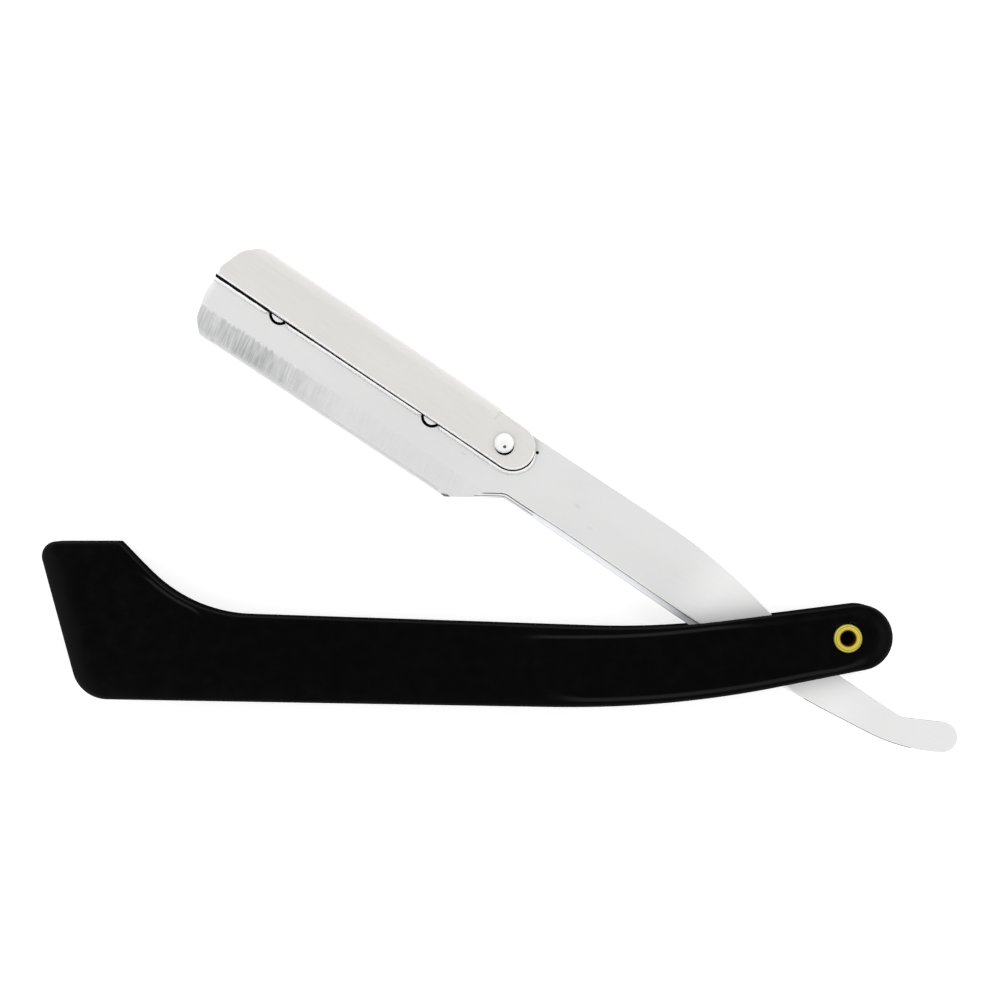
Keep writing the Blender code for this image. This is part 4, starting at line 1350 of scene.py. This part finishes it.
# painted shade of the rolled rim, its lip and the blind bore, as darker rings: (full inside, none outside,
# colour), from the rim inwards
brassPaintedShade = (
    (1.9, 2.02, (0.42, 0.34, 0.04)),
    (1.74, 1.86, (0.68, 0.58, 0.085)),
    (1.34, 1.5, (0.52, 0.39, 0.045)),
    (1.14, 1.32, (0.33, 0.17, 0.012)),
    (0.94, 1.08, (0.01, 0.007, 0.004)),
)
brass = turnedMetal("yellowBrass", (0.74, 0.64, 0.14), 0.45, (0.0, 0.0, 0.0), brassPaintedShade, 9000.0)
rivetBrass = turnedPieces("pivotRivet", pivotSection(), brass, facets=96)
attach(rivetBrass, "handle")
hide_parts("pivot_rivet")

washers = {
    "bore": 1.7,
    "radius": 4.0,
    "thickness": 1.4,
    "chamfer": 0.12,
    "backHeight": 2.3,
    "frontHeight": 5.5,
}


def washerSection():
    bore = washers["bore"]
    radius = washers["radius"]
    chamfer = washers["chamfer"]
    high = washers["thickness"]
    return [
        (bore, chamfer), (bore + chamfer, 0.0), (radius - chamfer, 0.0), (radius, chamfer),
        (radius, high - chamfer), (radius - chamfer, high), (bore + chamfer, high), (bore, high - chamfer),
        (bore, chamfer),
    ]


def nylonFinish():
    finish, tree, shader = startFinish("greyWasherNylon", (0.42, 0.42, 0.41), 0.0, 0.5)
    place = objectCoords(tree)
    cloud = noise(tree, place, 600.0, 3.0)
    tint = mixed(tree, cloud, (0.36, 0.36, 0.35), (0.48, 0.48, 0.47))
    dressed(tree, shader, tint, graded(tree, cloud, 0.42, 0.58), noise(tree, place, 3000.0, 2.0), 0.01)
    return finish


washerPair = turnedPieces(
    "pivotWashers", washerSection(), nylonFinish(), (0.0, 0.0, washers["backHeight"]),
    (0.0, 0.0, washers["frontHeight"] - washers["backHeight"]), 2,
)
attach(washerPair, "handle")
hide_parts("pivot_washer_back", "pivot_washer_front")

coverRivet = {
    "seat": 6.6,
    "clinch": 2.2,
    "radius": 1.0,
    "head": 1.56,
    "brim": 0.2,
    "dome": 0.7,
    "clinchHeight": 0.35,
    # (inset from the head's radius, rise)
    "clinchRound": ((0.6, 0.0), (0.35, 0.06), (0.1, 0.2)),
    "domeSteps": 14,
    # under the brim: inset and rise
    "footChamfer": (0.04, 0.05),
    # offset in the picture's x and y, radius, floor and the height of its cutter
    "dimple": (0.1, -0.6, 0.27, 6.9, 7.6),
}


def coverRivetSection():
    seat = coverRivet["seat"]
    clinch = coverRivet["clinch"]
    head = coverRivet["head"]
    brim = seat + coverRivet["brim"]
    low = clinch - coverRivet["clinchHeight"]
    radius = coverRivet["radius"]
    section = [(0.0, low)]
    section += [(head - inset, low + rise) for inset, rise in coverRivet["clinchRound"]]
    inset, rise = coverRivet["footChamfer"]
    section += [(head, clinch), (radius, clinch), (radius, seat), (head - inset, seat), (head, seat + rise)]
    for step in range(coverRivet["domeSteps"]):
        angle = math.pi / 2 * step / coverRivet["domeSteps"]
        section.append((head * math.cos(angle), brim + coverRivet["dome"] * math.sin(angle)))
    section.append((0.0, brim + coverRivet["dome"]))
    return section


rivetMetal = turnedMetal("brightRivetSteel", (0.98, 0.977, 0.985), 0.6, rivetAt)
domedRivet = turnedPieces("coverRivet", coverRivetSection(), rivetMetal, rivetAt)
# the dimple's inside takes the darker sheared finish: painted shade in the little hollow
domedRivet.data.materials.append(plateEdgeSteel)
dimpleX, dimpleY, dimpleRadius, dimpleFloor, dimpleTop = coverRivet["dimple"]
dimpleSection = [(0.0, dimpleFloor), (dimpleRadius * 0.8, dimpleFloor + 0.05)]
dimpleSection += [(dimpleRadius, dimpleTop), (0.0, dimpleTop)]
carve(domedRivet, turned(dimpleSection, 24, rivetAt[0] + dimpleX, rivetAt[1] + dimpleY), None, 1)
settle(domedRivet)
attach(domedRivet, "arm")
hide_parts("clamp_rivet")

studs = {
    "foot": 3.55,
    "shank": 1.0,
    "neck": 4.9,
    "head": 1.3,
    "top": 5.2,
    "chamfer": 0.1,
    "chamferRound": 0.03,
}


def studSection():
    shank = studs["shank"]
    head = studs["head"]
    foot = studs["foot"]
    top = studs["top"]
    chamfer = studs["chamfer"]
    soft = studs["chamferRound"]
    section = [(0.0, foot), (shank - chamfer, foot), (shank, foot + chamfer), (shank, studs["neck"])]
    section += [(head, studs["neck"]), (head, top - chamfer), (head - soft, top - soft)]
    return section + [(head - chamfer, top), (0.0, top)]


studMetal = turnedMetal("pressedStudSteel", (0.93, 0.93, 0.93), 0.6, (0.0, 0.0, 0.0))
studEnd, studStart = (onArm(*place) for place in plate["studBores"])
studStep = [b - a for a, b in zip(studStart, studEnd)]
studPair = turnedPieces("bladeStuds", studSection(), studMetal, studStart, studStep, 2, 48)
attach(studPair, "arm")
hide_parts("blade_stud_tip", "blade_stud_heel")
print("rivets, studs and washers turned")


blade = {
    "ends": (66.35, 109.35),
    "back": 5.25,
    "edge": 16.3,
    "sheet": (3.6, 3.7),
    "notches": (73.4, 102.3),
    "notchRadius": 2.7,
    "notchSteps": 24,
    "bevel": 0.7,
    "edgeShare": 0.16,
    # depths between which the steel turns honed and is painted towards white, partly painted light against
    # the plate's shade
    "honedAndLit": (15.45, 15.65),
}


def bladeFinish():
    finish, tree, shader = startFinish("honedBladeSteel", (0.84, 0.85, 0.86), 1.0, 0.5)
    place = alongArm(tree)
    depth = split(tree, place)[1]
    hone = streaks(tree, place, (2600.0, 160.0, 1.0), 2.0)
    cloud = noise(tree, place, 120.0, 3.0)
    honedAndLit = faded(tree, depth, *blade["honedAndLit"])
    tint = mixed(tree, cloud, (0.8, 0.81, 0.83), (0.87, 0.88, 0.88))
    # the honed strip is painted white: partly the honed edge's own brightness, partly painted light making
    # up for the plate's shade
    bright = mixed(tree, honedAndLit, tint, (1.0, 1.0, 1.0))
    scored = mixed(tree, graded(tree, hone, 0.0, 0.06), bright, (0.6, 0.6, 0.6))
    brushed = plus(tree, graded(tree, cloud, 0.48, 0.58), times(tree, honedAndLit, 0.36))
    dressed(tree, shader, scored, brushed, hone, 0.002)
    return finish


def makeBlade():
    heel, tip = blade["ends"]
    back = blade["back"]
    edge = blade["edge"]
    bevel = edge - blade["bevel"]
    steps = blade["notchSteps"]
    points = [Vector((heel, back))]
    for place in blade["notches"]:
        for step in range(steps + 1):
            angle = math.pi * (1 - step / steps)
            around = Vector((math.cos(angle), math.sin(angle)))
            points.append(Vector((place, back)) + blade["notchRadius"] * around)
    corners = ((tip, back), (tip, bevel), (tip, edge), (heel, edge), (heel, bevel))
    points += [Vector(place) for place in corners]
    low, high = blade["sheet"]
    middle = (low + high) / 2

    def ring(height):
        # both faces run together along the honed edge
        atEdge = middle + (height - middle) * blade["edgeShare"]
        return [(p.x, p.y, height if p.y < edge else atEdge) for p in points]

    shape = loft([ring(low), ring(high)])
    cuts = shape.verts[:] + shape.edges[:] + shape.faces[:]
    bmesh.ops.bisect_plane(shape, geom=cuts, plane_co=(0, bevel * mm, 0), plane_no=(0, 1, 0))
    bmesh.ops.recalc_face_normals(shape, faces=shape.faces)
    piece = asPiece("halfBlade", shape, armTurn, [bladeFinish()])
    piece.data.shade_smooth()
    piece.data.set_sharp_from_angle(angle=math.radians(3.0))
    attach(piece, "arm")
    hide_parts("razor_blade")


makeBlade()
print("half blade laid in")


studio = {
    "floorSize": 1.6,
    "floorDrop": 0.02,
    "floorColour": (0.86, 0.86, 0.86),
    "floorGlow": 0.5,
    "aim": (-54.3, 21.6, 5.0),
    "distance": 0.95,
    # azimuth and zenith in degrees, width and depth in metres
    "softboxes": (
        {"name": "softboxFar", "azimuth": 90.0, "zenith": 34.0, "wide": 1.1, "deep": 0.6, "watts": 0.9},
        {"name": "softboxNear", "azimuth": 262.0, "zenith": 36.0, "wide": 1.1, "deep": 0.6, "watts": 0.5},
        {"name": "softboxLeft", "azimuth": 180.0, "zenith": 36.0, "wide": 0.9, "deep": 0.6, "watts": 0.6},
        {"name": "softboxRight", "azimuth": 0.0, "zenith": 36.0, "wide": 0.9, "deep": 0.6, "watts": 0.6},
    ),
    # (height, level) of the sky from the horizon to the zenith
    "skyStops": ((0.0, 0.62), (0.4, 0.75), (0.8, 0.8), (0.88, 0.66), (0.945, 0.33), (0.985, 0.11)),
    "skyStrength": 1.25,
}
overhead = {
    "place": (-54.3, 21.6, 477.2),
    "sensor": 36.0,
    "lens": 108.0,
    "nearest": 0.01,
}


def floorFinish():
    finish, tree, shader = startFinish("paleFloor", studio["floorColour"], 0.0, 0.9)
    paper = noise(tree, objectCoords(tree), 8.0, 2.0)
    lighter = [c + 0.02 for c in studio["floorColour"]]
    tree.links.new(mixed(tree, paper, studio["floorColour"], lighter), shader.inputs["Base Color"])
    shader.inputs["Specular IOR Level"].default_value = 0.0
    path = put(tree, "ShaderNodeLightPath")
    seen = maths(tree, "MAXIMUM", path.outputs["Is Camera Ray"], path.outputs["Is Glossy Ray"])
    strength = times(tree, seen, studio["floorGlow"])
    glow = put(tree, "ShaderNodeEmission", {"Color": (1.0, 1.0, 1.0, 1.0), "Strength": strength})
    both = put(tree, "ShaderNodeAddShader", {0: shader.outputs[0], 1: glow.outputs[0]})
    tree.links.new(both.outputs[0], tree.nodes["Material Output"].inputs["Surface"])
    return finish


def makeStage():
    size = studio["floorSize"] / 2
    drop = -studio["floorDrop"] * mm
    mesh = bpy.data.meshes.new("paleFloor")
    corners = [(-size, -size, drop), (size, -size, drop), (size, size, drop), (-size, size, drop)]
    mesh.from_pydata(corners, [], [(0, 1, 2, 3)])
    floor = linked("paleFloor", mesh)
    mesh.materials.append(floorFinish())
    middle = Vector(studio["aim"]) * mm
    for box in studio["softboxes"]:
        light = bpy.data.lights.new(box["name"], "AREA")
        light.shape = "RECTANGLE"
        light.size = box["wide"]
        light.size_y = box["deep"]
        light.energy = box["watts"]
        lamp = linked(box["name"], light)
        tilt = math.radians(box["zenith"])
        around = math.radians(box["azimuth"])
        sideways = math.sin(tilt)
        aim = Vector((sideways * math.cos(around), sideways * math.sin(around), math.cos(tilt)))
        lamp.location = middle + aim * studio["distance"]
        lamp.rotation_euler = aim.to_track_quat("Z", "Y").to_euler()


def makeSky():
    # white to the camera, a bright ring round a dark zenith to everything else
    world = bpy.data.worlds.new("softStudio")
    scene.world = world
    world.use_nodes = True
    tree = world.node_tree
    sky = tree.nodes["Background"]
    up = split(tree, put(tree, "ShaderNodeTexCoord").outputs["Generated"])[2]
    ramp = put(tree, "ShaderNodeValToRGB", {0: up})
    stops = studio["skyStops"]
    while len(ramp.color_ramp.elements) < len(stops):
        ramp.color_ramp.elements.new(0.5)
    for element, (position, level) in zip(ramp.color_ramp.elements, stops):
        element.position = position
        element.color = (level, level, level, 1.0)
    lit = times(tree, ramp.outputs[0], studio["skyStrength"])
    path = put(tree, "ShaderNodeLightPath")
    inputs = {0: path.outputs["Is Camera Ray"], 2: lit, 3: 1.0}
    strength = put(tree, "ShaderNodeMix", inputs, data_type="FLOAT")
    sky.inputs["Color"].default_value = (1.0, 1.0, 1.0, 1.0)
    tree.links.new(strength.outputs[0], sky.inputs["Strength"])


def makeCamera():
    lens = bpy.data.cameras.new("overhead")
    lens.sensor_width = overhead["sensor"]
    lens.lens = overhead["lens"]
    lens.clip_start = overhead["nearest"]
    camera = linked("overhead", lens)
    camera.location = Vector(overhead["place"]) * mm
    scene.camera = camera


makeStage()
makeSky()
makeCamera()
scene.view_settings.view_transform = "Standard"
print("stage, light and camera set")
